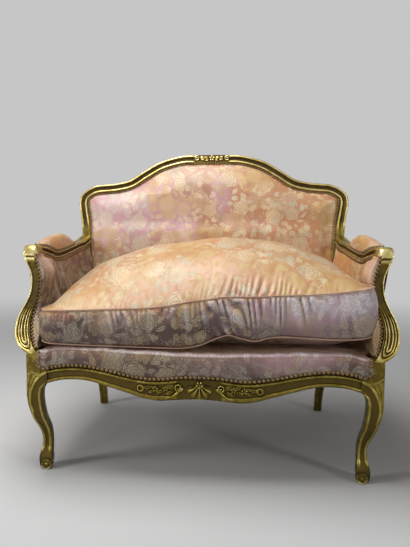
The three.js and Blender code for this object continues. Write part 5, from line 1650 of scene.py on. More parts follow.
def patch(spots: Array, middle: Sequence[float], size: Sequence[float]) -> Array:
    """1 at the middle of a soft patch in the plane of x and z, fading to 0."""
    dx, dz = (spots[:, 0] - middle[0]) / size[0], (spots[:, 2] - middle[1]) / size[1]
    return np.exp(-(dx**2 + dz**2))


def puff(piece: bpy.types.Object, held: Array, growth: Array, pressure: float, cap: float, frames: int = 18) -> None:
    """Lets a cover swell and wrinkle as cloth, held where it is sewn or nailed.

    Args:
        piece: A closed mesh.
        held: How firmly each point is held, from 0 to 1.
        growth: How much larger than its place the cloth is cut, from 0 to 1.
        pressure: Pressure of the filling.
        cap: How far a point may move.
        frames: How long it settles.
    """
    start = places_of(piece)
    for name, weights in (("held", held), ("growth", growth)):
        group = piece.vertex_groups.new(name=name)
        for level in np.unique(np.round(weights, 2)):
            members = np.nonzero(np.round(weights, 2) == level)[0]
            if level > 0:
                group.add(members.tolist(), float(level), "REPLACE")
    work_on(piece)
    cloth = piece.modifiers.new("Cloth", "CLOTH")
    rules = cloth.settings
    rules.quality = 6
    rules.mass = 0.25
    rules.tension_stiffness = rules.compression_stiffness = 14
    rules.shear_stiffness = 4
    rules.bending_stiffness = 0.06
    rules.use_pressure = True
    rules.uniform_pressure_force = pressure
    rules.shrink_min = -0.01
    rules.shrink_max = -0.12
    rules.vertex_group_shrink = "growth"
    rules.vertex_group_mass = "held"
    rules.effector_weights.gravity = 0
    cloth.collision_settings.use_collision = False
    scene = bpy.context.scene
    cloth.point_cache.frame_start, cloth.point_cache.frame_end = 1, frames
    for moment in range(1, frames + 1):
        scene.frame_set(moment)
    bpy.ops.object.modifier_apply(modifier=cloth.name)
    scene.frame_set(1)
    moved = places_of(piece) - start
    far = np.linalg.norm(moved, axis=1, keepdims=True)
    put_places(piece, start + moved * np.minimum(1, cap / np.maximum(far, 1e-9)))
    piece.vertex_groups.clear()


def finer(piece: bpy.types.Object) -> None:
    """Subdivides a cover once and shades it smooth."""
    work_on(piece)
    modifier = piece.modifiers.new("Finer", "SUBSURF")
    modifier.levels = modifier.render_levels = 1
    bpy.ops.object.modifier_apply(modifier=modifier.name)
    bpy.ops.object.shade_smooth()


@dataclass
class Cushion:
    """Loose feather cushion with a gathered boxing between two piped seams."""

    finishes: Finishes
    half_width: float = 0.441
    front_y: float = -0.37
    rear_y: float = 0.196
    taper: float = 0.04
    corner: float = 0.046
    right_reach: float = 0.009
    pinch: float = 0.006
    crown: float = 0.144
    piping: float = 0.0019
    across: int = 132
    deep: int = 56
    boxing_rows: int = 12
    fold_depth: float = 0.015

    # Distance from the middle and height of the two seams along the front
    top_seam = [[-0.45, 0.458], [-0.34, 0.461], [-0.25, 0.465], [-0.17, 0.468], [-0.1, 0.475], [-0.038, 0.487],
                [0.027, 0.497], [0.06, 0.502], [0.156, 0.505], [0.22, 0.509], [0.283, 0.512], [0.345, 0.517],
                [0.407, 0.525], [0.45, 0.531]]
    low_seam = [[-0.45, 0.372], [-0.34, 0.368], [-0.24, 0.366], [-0.14, 0.3645], [-0.05, 0.3645], [0.0, 0.374],
                [0.04, 0.392], [0.073, 0.402], [0.106, 0.395], [0.145, 0.388], [0.177, 0.397], [0.209, 0.401],
                [0.285, 0.399], [0.35, 0.397], [0.41, 0.4], [0.45, 0.406]]

    # Distance from the middle, and strength of the gathers in the boxing and in the top at the front seam
    gathers = [[-0.45, 0.15, 0.1], [-0.3, 0.3, 0.25], [-0.22, 0.85, 0.6], [-0.17, 0.5, 0.2], [-0.1, 0.6, 0.15],
               [-0.03, 0.55, 0.3], [0.04, 0.9, 0.8], [0.1, 1, 1], [0.2, 1, 0.95], [0.27, 0.85, 0.5],
               [0.33, 0.55, 0.3], [0.4, 0.35, 0.25], [0.45, 0.2, 0.1]]

    @property
    def middle_y(self) -> float:
        """Middle of the cushion from front to back."""
        return (self.front_y + self.rear_y) / 2

    def sides(self) -> list[Array]:
        """Front, right, back and left edge in plan, between the middles of the corners."""
        c = self.corner
        front_x, rear_x = self.half_width - c, self.half_width - c - self.taper
        more = self.right_reach
        centres = [
            (-front_x, self.front_y + c), (front_x + more, self.front_y + c),
            (rear_x + more, self.rear_y - c), (-rear_x, self.rear_y - c),
        ]

        def arc(centre: tuple[float, float], start: float, end: float) -> Array:
            angle = np.radians(np.linspace(start, end, 10))
            return np.stack([centre[0] + c * np.cos(angle), centre[1] + c * np.sin(angle)], axis=-1)

        def edge(a: Array, b: Array) -> Array:
            t = np.linspace(0, 1, 40)[1:-1, None]
            line = mix(a[-1], b[0], t)
            way = b[0] - a[-1]
            out = np.array([way[1], -way[0]]) / np.linalg.norm(way)
            return np.concatenate([a, line - out * self.pinch * np.sin(np.pi * t), b])

        return [
            edge(arc(centres[0], 225, 270), arc(centres[1], 270, 315)),
            edge(arc(centres[1], 315, 360), arc(centres[2], 0, 45)),
            edge(arc(centres[2], 45, 90), arc(centres[3], 90, 135)),
            edge(arc(centres[3], 135, 180), arc(centres[0], 180, 225)),
        ]

    def plan(self) -> tuple[Array, Array]:
        """The top's plan as a grid, and the plan of its edge all round from the front left corner."""
        front, right, back, left = self.sides()
        front, right = even_line(front, self.across + 1), even_line(right, self.deep + 1)
        back, left = even_line(back, self.across + 1), even_line(left, self.deep + 1)
        u = np.linspace(0, 1, self.across + 1)[None, :, None]
        v = np.linspace(0, 1, self.deep + 1)[:, None, None]
        low, high, west, east = front[None], back[::-1][None], left[::-1][:, None], right[:, None]
        corners = (
            front[0] * (1 - u) * (1 - v) + front[-1] * u * (1 - v) + back[0] * u * v + back[-1] * (1 - u) * v
        )
        grid = low * (1 - v) + high * v + west * (1 - u) + east * u - corners
        return grid, np.concatenate([front[:-1], right[:-1], back[:-1], left[:-1]])

    def seam_height(self, x: Array, y: Array, table: list[list[float]], rear: float) -> Array:
        """Height of a seam: as the table has it at the front, evened out towards the back."""
        front = smooth_at(table, np.clip(x, -0.45, 0.45))[0]
        slope = rear + x * 0.045
        return mix(front, slope, ease(y, self.front_y + 0.03, self.rear_y - 0.05))

    def seams(self, x: Array, y: Array) -> tuple[Array, Array]:
        """Heights of the lower and the upper seam over a place in plan."""
        return self.seam_height(x, y, self.low_seam, 0.385), self.seam_height(x, y, self.top_seam, 0.495)

    def top(self, plan: Array) -> Array:
        """Points of the top panel."""
        x, y = plan[..., 0], plan[..., 1]
        _, seam = self.seams(x, y)
        half_y = (self.rear_y - self.front_y) / 2
        wide = np.clip(np.abs(x) / self.half_width, 0, 1)
        deep = np.clip(np.abs(y - self.middle_y) / half_y, 0, 1)
        crown = (1 - wide**2.9) * (1 - deep**2.1)
        edge = np.minimum(1 - wide, 1 - deep)
        fold = wrinkled(plan, 6, 3)
        return points(x, y, seam + self.crown * crown + 0.0035 * fold * ease(edge, 0, 0.2))

    def boxing(self, rim: Array) -> Array:
        """Points of the boxing from the lower to the upper seam, by row."""
        low, high = self.seams(rim[:, 0], rim[:, 1])
        ahead, behind = np.roll(rim, -1, axis=0), np.roll(rim, 1, axis=0)
        out = np.stack([(ahead - behind)[:, 1], -(ahead - behind)[:, 0]], axis=-1)
        out /= np.linalg.norm(out, axis=1, keepdims=True)
        t = np.linspace(0, 1, self.boxing_rows + 1)[:, None]
        swell = 0.012 * np.sin(np.pi * t) ** 0.7
        x = rim[:, 0][None]
        reach = swell + 0.0015 * np.sin(x * 150 + 2 * np.sin(x * 37)) * np.sin(np.pi * t)
        flat = rim[None] + out[None] * reach[..., None]
        return points(flat[..., 0], flat[..., 1], mix(low[None], high[None], t))

    def bottom(self, plan: Array) -> Array:
        """Points of the underside."""
        x, y = plan[..., 0], plan[..., 1]
        seam, _ = self.seams(x, y)
        half_y = (self.rear_y - self.front_y) / 2
        wide = np.clip(np.abs(x) / self.half_width, 0, 1)
        deep = np.clip(np.abs(y - self.middle_y) / half_y, 0, 1)
        rim = np.maximum(wide, deep)
        return points(x, y, mix(0.3672, seam, ease(rim, 0.72, 1.0)))

    def cover(self) -> bpy.types.Object:
        """The cover, sewn from a top, a boxing and an underside."""
        plan, rim = self.plan()
        top, side, under = self.top(plan), self.boxing(rim), self.bottom(plan)
        top[0, :], top[-1, :] = side[-1][: self.across + 1], side[-1][self.across + self.deep: 2 * self.across + self.deep + 1][::-1]
        ring = np.concatenate([side, side[:, :1]], axis=1)
        count = self.across
        turn = count + self.deep
        for panel, row in ((top, ring[-1]), (under, ring[0])):
            panel[0, :] = row[: count + 1]
            panel[:, -1] = row[count: turn + 1]
            panel[-1, :] = row[turn: turn + count + 1][::-1]
            panel[:, 0] = row[turn + count:][::-1]
        along = lengths(ring[-1])
        strip = np.stack(np.broadcast_arrays(along[None], ring[..., 2]), axis=-1) + np.array([0.37, 0.9])
        parts = [
            lay_grid("top", top, top[..., :2] + 2.0, fill=False),
            lay_grid("boxing", ring, strip, fill=False),
            lay_grid("under", under[:, ::-1], under[:, ::-1, :2] + 4.0, fill=False),
        ]
        piece = join_all("feather_cushion", parts)
        tidy_mesh(piece, False)
        return piece

    def settle(self, piece: bpy.types.Object) -> None:
        """Lets the cover fill and pucker between its seams."""
        spots = places_of(piece)
        low, high = self.seams(spots[:, 0], spots[:, 1])
        _, rim = self.plan()
        gap, _ = to_line(spots[:, 0], spots[:, 1], np.concatenate([rim, rim[:1]]))
        seam = (gap < 0.002) & ((np.abs(spots[:, 2] - low) < 0.001) | (np.abs(spots[:, 2] - high) < 0.001))
        under = (spots[:, 2] < low + 0.0005) & (gap > 0.002)
        held = np.where(seam, 1.0, np.where(under, 0.6, 0.0))
        side = (gap < 0.03) & ~seam & ~under & (spots[:, 2] < high)
        growth = np.where(side, 0.9, 0.25)
        puff(piece, held, growth, 2.2, 0.014)

    def gather(self, piece: bpy.types.Object) -> None:
        """Draws the cloth into sharp gathers that run out from the front and side seams."""
        spots, normals = places_of(piece), normals_of(piece)
        x, y, z = spots.T
        low, high = self.seams(x, y)
        _, rim = self.plan()
        gap, share = to_line(x, y, np.concatenate([rim, rim[:1]]))
        front = ease(-y, -self.front_y - 0.06, -self.front_y - 0.02)
        boxing, top = smooth_at(self.gathers, np.clip(x, -0.45, 0.45))
        along = mix(share * 2.9, x, front)
        below = np.maximum(high - z, 0)
        t = np.clip((z - low) / (high - low), 0, 1)
        long = 0.62 + 0.38 * np.sin(along * 71 + 2 * np.sin(along * 29))
        sway = 0.5 * np.sin(along * 33) + 0.35 * np.sin(along * 87 + 1)
        phase = (along - (0.22 + 0.2 * np.sin(along * 23)) * below) / 0.0215 + sway
        ridge = np.abs(np.sin(np.pi * phase)) ** 0.75 - 0.62
        fine = np.abs(np.sin(np.pi * (phase * 2.3 + 0.4))) ** 0.8 - 0.6
        run = ease(t, 1.0, 0.9) * ease(t, 0.9 - 0.85 * long, 1.05 - 0.5 * long)
        depth = mix(0.28, boxing, front)
        side = (z < high - 0.0004) & (gap < 0.03) & (z > low + 0.0004)
        move = np.where(side, self.fold_depth * depth * run * (0.75 * ridge + 0.35 * fine * ease(below, 0.045, 0.0)), 0)
        lift = (x - 0.07) / 0.03
        heave = np.abs(np.sin(np.pi * ((x + 0.5 * (z - low)) / 0.024 + 0.3))) - 0.6
        rising = 0.01 * heave * np.exp(-(lift**2)) * ease(t, 0.6, 0.1) * ease(t, 0.0, 0.06) * front
        inwards = np.maximum(y - self.front_y, 0)
        crease = (x - 0.3 * inwards) / 0.017 + 0.4 * np.sin(x * 57)
        over = np.abs(np.sin(np.pi * crease)) ** 0.7 - 0.62
        reach = 0.026 + 0.02 * np.sin(x * 90 + 1) + 0.012 * top
        upper = (z > high + 0.0003) & (gap > 0.0004)
        fade = np.exp(-((gap / reach) ** 2)) * ease(gap, 0.0, 0.006)
        move += np.where(upper, 0.0062 * over * fade * mix(0.22, top, front), 0) + np.where(side, rising, 0)
        put_places(piece, spots + normals * move[:, None])
        # Painted highlight on the boxing's upper right and painted shade lower in the middle and on the left, stored
        # with the folds' painted sheen and shade
        pale = 1.5 * np.exp(-(((x - 0.41) / 0.14) ** 2)) * ease(t, 0.3, 0.8)
        dark = 0.75 * np.exp(-(((x - 0.26) / 0.14) ** 2)) * ease(t, 0.5, 0.15) + 0.5 * ease(x, 0.0, -0.3)
        set_values(piece, "fold", np.clip(move / 0.005 + np.where(side, front * (pale - dark), 0), -1, 1))

    def welt(self, name: str, upper: bool, solid: str) -> None:
        """Piping sewn into a seam.

        Args:
            name: Name of the piece.
            upper: Whether it is the upper seam's.
            solid: The solid that it stands for.
        """
        _, rim = self.plan()
        rim = even_line(np.concatenate([rim, rim[:1]]), 481)[:-1]
        low, high = self.seams(rim[:, 0], rim[:, 1])
        line = points(rim[:, 0], rim[:, 1], high + 0.0004 if upper else low - 0.0004)
        out = np.stack([np.roll(line, -1, 0)[:, 1] - np.roll(line, 1, 0)[:, 1], np.roll(line, 1, 0)[:, 0] - np.roll(line, -1, 0)[:, 0]], axis=-1)
        out /= np.linalg.norm(out, axis=1, keepdims=True)
        line[:, :2] += out * (self.piping + 0.0006)
        angle = np.linspace(0, TAU, 11)[:-1]
        twist = 1 + 0.06 * np.sin(lengths(line) * 900)[:, None]
        reach = self.piping * twist
        ring = points(
            line[:, :1] + out[:, :1] * reach * np.cos(angle), line[:, 1:2] + out[:, 1:] * reach * np.cos(angle),
            line[:, 2:] + reach * np.sin(angle),
        )
        piece = lay_grid(name, np.concatenate([ring, ring[:1]]), closed=True, fill=False)
        soften(piece, 180)
        finish_piece(piece, self.finishes.piping, [solid], Body.CUSHION)

    def build(self) -> None:
        """Builds the cushion and its piping."""
        piece = self.cover()
        self.settle(piece)
        finer(piece)
        self.gather(piece)

        # Painted sheen on the boxing, palest towards the front right
        def painted_sheen(spots: Array) -> Array:
            side = ease(self.seams(spots[:, 0], spots[:, 1])[1] - spots[:, 2], -0.004, 0.01)
            pale = 0.6 * patch(spots, (0.34, 0.46), (0.14, 0.07)) + 0.4 * patch(spots, (0.12, 0.47), (0.1, 0.05))
            return side * (0.2 + pale + 0.3 * patch(spots, (-0.22, 0.46), (0.05, 0.04)))

        # Painted light on the top and painted shade on the boxing
        silk_values(piece, 0.02, 1.0, painted_sheen)
        finish_piece(piece, self.finishes.silk, ["cushion_cover", "cushion_filling"], Body.CUSHION)
        self.welt("cushion_welt_top", True, "cushion_piping_top")
        self.welt("cushion_welt_bottom", False, "cushion_piping_bottom")


def canvas_top(x: Array, y: Array) -> Array:
    """Height of the spring canvas."""
    across = np.minimum(np.abs(x) / 0.473, 1) ** 2.6
    along = np.minimum(np.abs((y + 0.075) / 0.3), 1) ** 2.6
    return PLAN.rail_top + 0.0015 + 0.006 * (1 - across) * (1 - along)


@dataclass
class Deck:
    """The sprung seat's cover, rolled over its front edge and nailed along the apron."""

    finishes: Finishes
    roll: float = 0.011
    columns: int = 180
    half: float = 0.4367
    lap: float = 0.0085

    edge_table = [[0, 0.3535], [0.1, 0.3555], [0.175, 0.3575], [0.281, 0.3615], [0.387, 0.3605], [0.42, 0.352], [0.44, 0.348]]

    def dents(self, x: Array) -> Array:
        """Small uneven dents of the rolled edge."""
        return 0.0016 * (1 + np.sin(x * 95 + 2.5 * np.sin(x * 31)) * np.sin(x * 17)) * ease(np.abs(x), 0.43, 0.4)

    def face(self) -> Array:
        """Outer face from the nail line over the roll to the back."""
        u = np.linspace(-1, 1, self.columns + 1)
        x = u * (self.half + self.lap)
        nail = PLAN.front_edges(x)[1] + 0.0015 + 0.006 * ease(np.abs(x), 0.432, 0.445)
        top = smooth_at(self.edge_table, np.abs(x))[0]
        block = ease(np.abs(x), PLAN.leg_inner_x - 0.014, PLAN.leg_inner_x + 0.001)
        face = mix(PLAN.front_face_y(x) + 0.0005, PLAN.knee_front_y - 0.0052, block)
        pulls = puckers(x, np.zeros_like(x), 0.0121, 1)
        rows = []
        for t in np.linspace(0, 1, 15):
            z = mix(nail, top - self.roll, t)
            belly = 0.0035 * math.sin(math.pi * t) ** 0.8
            tuck = 0.0035 * math.exp(-((t / 0.13) ** 2))
            y = face + 0.003 - belly + tuck + 0.0011 * pulls * math.exp(-((t / 0.3) ** 2))
            y = y + 0.0009 * wrinkled(points(x, 0 * x, 0.3 * z)[..., ::2], 22, 5) * math.sin(math.pi * t)
            rows.append(points(x, y, z))
        for turn in np.radians(np.linspace(12, 90, 8)):
            dent = self.dents(x) * math.sin(turn)
            rows.append(points(x, face + 0.003 + self.roll * (1 - math.cos(turn)), top - self.roll * (1 - math.sin(turn)) - dent))
        start = rows[-1][:, 1]
        for v in np.linspace(0.03, 1, 34):
            y = mix(start, PLAN.rear_leg_front_y - 0.0005, v)
            front = mix(self.half + self.lap, self.half, ease(y, -0.372, -0.35))
            wide = mix(front, PLAN.side_face_x(y) - 0.0085, ease(y, -0.312, -0.293))
            px = u * wide
            across = np.minimum(np.abs(px) / 0.473, 1) ** 2.6
            along = np.minimum(np.abs((y + 0.075) / 0.3), 1) ** 2.6
            z = mix(top - self.dents(x), 0.351, ease(v + 0 * u, 0, 0.2)) + 0.0132 * (1 - across) * (1 - along) * ease(v + 0 * u, 0, 0.25)
            rows.append(points(px, y, np.minimum(z, 0.3662)))
        return np.array(rows)

    def build(self) -> None:
        """Builds the cover with its stuffing's thickness."""
        face = self.face()
        back = face.copy()
        count = 15
        back[:count, :, 1] = face[:count, :, 1] + 0.0045
        back[:count, :, 2] = np.minimum(face[:count, :, 2], 0.332)
        back[count:, :, 1] = np.maximum(face[count:, :, 1], face[count - 1, :, 1] + 0.0048)
        back[count:, :, 2] = np.maximum(0.3325, canvas_top(back[count:, :, 0], back[count:, :, 1]) + 0.0004)
        piece = lay_grid("sprung_seat", slab(face, back), slab(face[..., [0, 2]] - face[..., [1, 1]] * [0, 1], face[..., :2]) + 7.0, closed=True)
        soften(piece, 60)
        # Painted light on the top, painted shade on the front, and a band of painted sheen
        silk_values(piece, 0.04, 0.8, lambda s: 0.1 + 0.5 * patch(s, (0.25, 0.34), (0.2, 0.04)))
        spots, normals = places_of(piece), normals_of(piece)
        # Painted highlight along the roll's top and painted shade on the front below it
        near = ease(spots[:, 1] - PLAN.front_face_y(spots[:, 0]), 0.035, 0.015)
        set_values(piece, "fold", near * (1.3 * ease(normals[:, 2], 0.1, 0.6) - 0.3))
        finish_piece(piece, self.finishes.silk, ["deck_cover", "deck_stuffing"])


@dataclass
class BackPads:
    """Stuffed inside back, and the cloth stretched over the outside of the back."""

    finishes: Finishes
    swell: float = 0.036
    rows: int = 104
    columns: int = 132

    def edge(self, place: Array, across: float) -> tuple[Array, Array, Array]:
        """Half width, height and rebate depth inside the back frame at places on its outline."""
        ring = PLAN.back_rings(place, np.array([[across, 0.0]]))[:, 0]
        floor = PLAN.member_depth * 0.22 * np.maximum(smooth_at(PLAN.stile_table, place)[2], 0)
        x = ring[:, 0]
        if across > 0.5:
            arm = arm_inside_x(np.array([PLAN.back_y(PLAN.rear_leg_x, z) - 0.002 for z in ring[:, 2]]), ring[:, 2])
            beside = mix(arm - 0.003, x, ease(ring[:, 2], PLAN.arm_rear_z, PLAN.arm_rear_z + 0.012))
            x = np.minimum(x, beside)
        return x, ring[:, 2], floor

    def face(self) -> tuple[Array, Array]:
        """Outer face of the inside back, and its pattern's place."""
        start = PLAN.place_of_height(0.372)
        place = np.concatenate([np.linspace(start, 12, 46), np.linspace(12.15, 22.93, self.rows - 46)])
        half, z, floor = self.edge(place, 0.93)
        u = np.sin(np.linspace(-1, 1, self.columns + 1) * np.pi / 2 * 0.86) / math.sin(math.pi / 2 * 0.86)
        x = half[:, None] * u[None]
        zz = z[:, None] + 0 * x
        rim = np.stack([np.concatenate([half, [0.0]]), np.concatenate([z, [z[-1]]])], axis=-1)
        gap, share = to_line(np.abs(x), zz, rim)
        lift = 0.009 * ease(gap, -0.001, 0.012)
        top = PLAN.back_height - PLAN.member_width
        w = np.clip((zz - 0.372) / (top - 0.372), 0, 1)
        wide = (1 - np.abs(x / half[:, None].clip(0.05)) ** 3.0) * (1 - np.abs(2 * w - 1) ** 3.0) ** 0.7
        plump = 0.35 * ease(gap, 0.0, 0.09) + 0.65 * wide * ease(gap, 0.0, 0.05)
        pulls = puckers(share * lengths(rim)[-1], gap, 0.0098, 0.011)
        furrow = 0.004 * np.exp(-(((x - 0.055 - 0.03 * (zz - 0.7)) / 0.02) ** 2)) * ease(zz, 0.9, 0.78)
        furrow += 0.003 * np.exp(-(((x - 0.19) / 0.024) ** 2)) * ease(zz, 0.86, 0.76) + 0.0022 * np.exp(-(((x + 0.11) / 0.02) ** 2)) * ease(zz, 0.8, 0.66)
        ripple = 0.0011 * wrinkled(np.stack([x, zz * 0.35], -1), 13, 11) * ease(gap, 0, 0.06)
        y = PLAN.back_y(x, zz) + floor[:, None] - 0.0012 - lift - self.swell * plump + 0.0016 * pulls + furrow + ripple
        return points(x, y, zz), np.stack([x, zz * 1.03], -1) + 9.0

    def inside(self) -> None:
        """The stuffed inside back."""
        face, cloth = self.face()
        back = face.copy()
        floor = self.edge(np.concatenate([np.linspace(PLAN.place_of_height(0.372), 12, 46), np.linspace(12.15, 22.93, self.rows - 46)]), 0.93)[2]
        back[..., 1] = PLAN.back_y(face[..., 0], face[..., 2]) + floor[:, None] - 0.0006
        piece = lay_grid("inside_back_pad", slab(face, back), slab(cloth, cloth + 0.0), closed=True)
        soften(piece, 60)

        # Painted sheen in pink and lilac patches, mostly on the left
        def painted_sheen(spots: Array) -> Array:
            return (
                0.8 * patch(spots, (-0.3, 0.71), (0.15, 0.1)) + 0.6 * patch(spots, (-0.1, 0.68), (0.05, 0.08))
                + 0.75 * patch(spots, (0.035, 0.79), (0.035, 0.07)) + 0.15
            )

        silk_values(piece, 0.48, 0.4, painted_sheen)
        # Painted light: the ground turns towards the lit colour to the right and at the top
        spots = places_of(piece)
        tone = 0.5 + 0.28 * ease(spots[:, 0], -0.05, 0.3) + 0.2 * ease(spots[:, 2], 0.8, 0.95)
        set_values(piece, "tone", tone)
        finish_piece(piece, self.finishes.silk, ["inside_back_cover", "back_stuffing", "back_canvas"])

    def outside(self) -> None:
        """The cloth stretched over the outside of the back."""
        place = np.concatenate([np.linspace(PLAN.place_of_height(0.304), 12, 40), np.linspace(12.2, 22.9, 46)])
        ring = PLAN.back_rings(place, np.array([[0.5, 0.0]]))[:, 0]
        u = np.linspace(-1, 1, 81)
        x = ring[:, :1] * u
        z = ring[:, 2:3] + 0 * x
        rim = np.stack([ring[:, 0], ring[:, 2]], axis=-1)
        gap, share = to_line(np.abs(x), z, rim)
        y = PLAN.back_y(x, z) + PLAN.rear_leg_depth + 0.0012 + 0.0016 * ease(gap, 0, 0.01)
        y = y - 0.0006 * puckers(share * lengths(rim)[-1], gap, 0.013, 0.012) + 0.0006 * wrinkled(np.stack([x, z], -1), 4, 17) * ease(gap, 0, 0.05)
        back = points(x, y - 0.0008, z)
        face = points(x, y, z)
        cloth = np.stack([x, z], -1) + 12.0
        piece = lay_grid("outside_back_cloth", slab(face[:, ::-1], back[:, ::-1]), slab(cloth[:, ::-1], cloth[:, ::-1]), closed=True)
        soften(piece, 60)
        # Painted light from the way the cloth faces, and a patch of painted sheen
        silk_values(piece, 0.5, 0.2, lambda s: 0.3 + 0.3 * patch(s, (0.2, 0.6), (0.2, 0.2)))
        finish_piece(piece, self.finishes.silk, ["outside_back_cover"])
        area = float(np.sum(np.diff(z[:, 0]) * (x[:-1, -1] + x[1:, -1])))

    def build(self) -> None:
        """Builds both sides of the back."""
        self.inside()
        self.outside()


def arm_foot_z() -> float:
    """Foot of the arm pads on the seat."""
    return 0.3525


def arm_gilt_edge(y: Array) -> Array:
    """Lower gilt edge of the arm rail, with the gap of the nail line."""
    return PLAN.arm_middle(PLAN.arm_share(y))[..., 2] - PLAN.arm_gilt - 0.002


def arm_inside_x(y: Array, z: Array) -> Array:
    """Inside of the arm's upholstery."""
    foot, head = arm_foot_z(), arm_gilt_edge(y)
    v = np.clip((z - foot) / (head - foot), 0, 1)
    head_x = PLAN.arm_middle(PLAN.arm_share(y))[..., 0] - PLAN.arm_width / 2 + 0.002
    pad = mix(PLAN.side_face_x(y) - 0.022, head_x, v) - 0.006 * np.sin(np.pi * v)
    inner, _, _, post_back = PLAN.post_at(z)
    beside = np.minimum(pad, inner - 0.0036)
    return mix(beside, pad, ease(y, post_back + 0.002, post_back + 0.092))


def arm_swell(u: Array, v: Array) -> Array:
    """How far the arm's inside puffs out beside its support, with a crease behind the puff.

    Args:
        u: Share of the way from the support to the back.
        v: Share of the height.
    """
    puffed = 0.016 * np.exp(-(((u - 0.11) / 0.13) ** 2) - ((v - 0.8) / 0.15) ** 2) * ease(v, 1.0, 0.93)
    crease = 0.005 * np.exp(-(((u - 0.2 - 0.4 * (0.8 - v)) / 0.035) ** 2)) * ease(v, 1.0, 0.9) * ease(v, 0.3, 0.6)
    return puffed - crease


def arm_span(z: Array, u: Array) -> Array:
    """Place from the arm's support to the stile at a height."""
    _, _, _, post_back = PLAN.post_at(z)
    rear = np.minimum(PLAN.back_y(PLAN.rear_leg_x, z), PLAN.back_y(PLAN.arm_front_x, z)) - 0.0007
    return mix(np.maximum(post_back, PLAN.leg_back_y) + 0.002, rear, u)


def manchette_half(v: Array) -> Array:
    """Half width of a manchette as a share of its widest, along its length."""
    return np.maximum(1 - np.abs(2 * v - 1) ** 5, 0.12) ** 0.5


def arm_outside_x(y: Array, z: Array) -> Array:
    """Outside of the arm's upholstery."""
    head = arm_gilt_edge(y)
    v = np.clip((z - PLAN.rail_top) / (head - PLAN.rail_top), 0, 1)
    head_x = PLAN.arm_middle(PLAN.arm_share(y))[..., 0] + PLAN.arm_width / 2 - 0.002
    return mix(PLAN.side_face_x(y) - 0.0057, head_x, v)


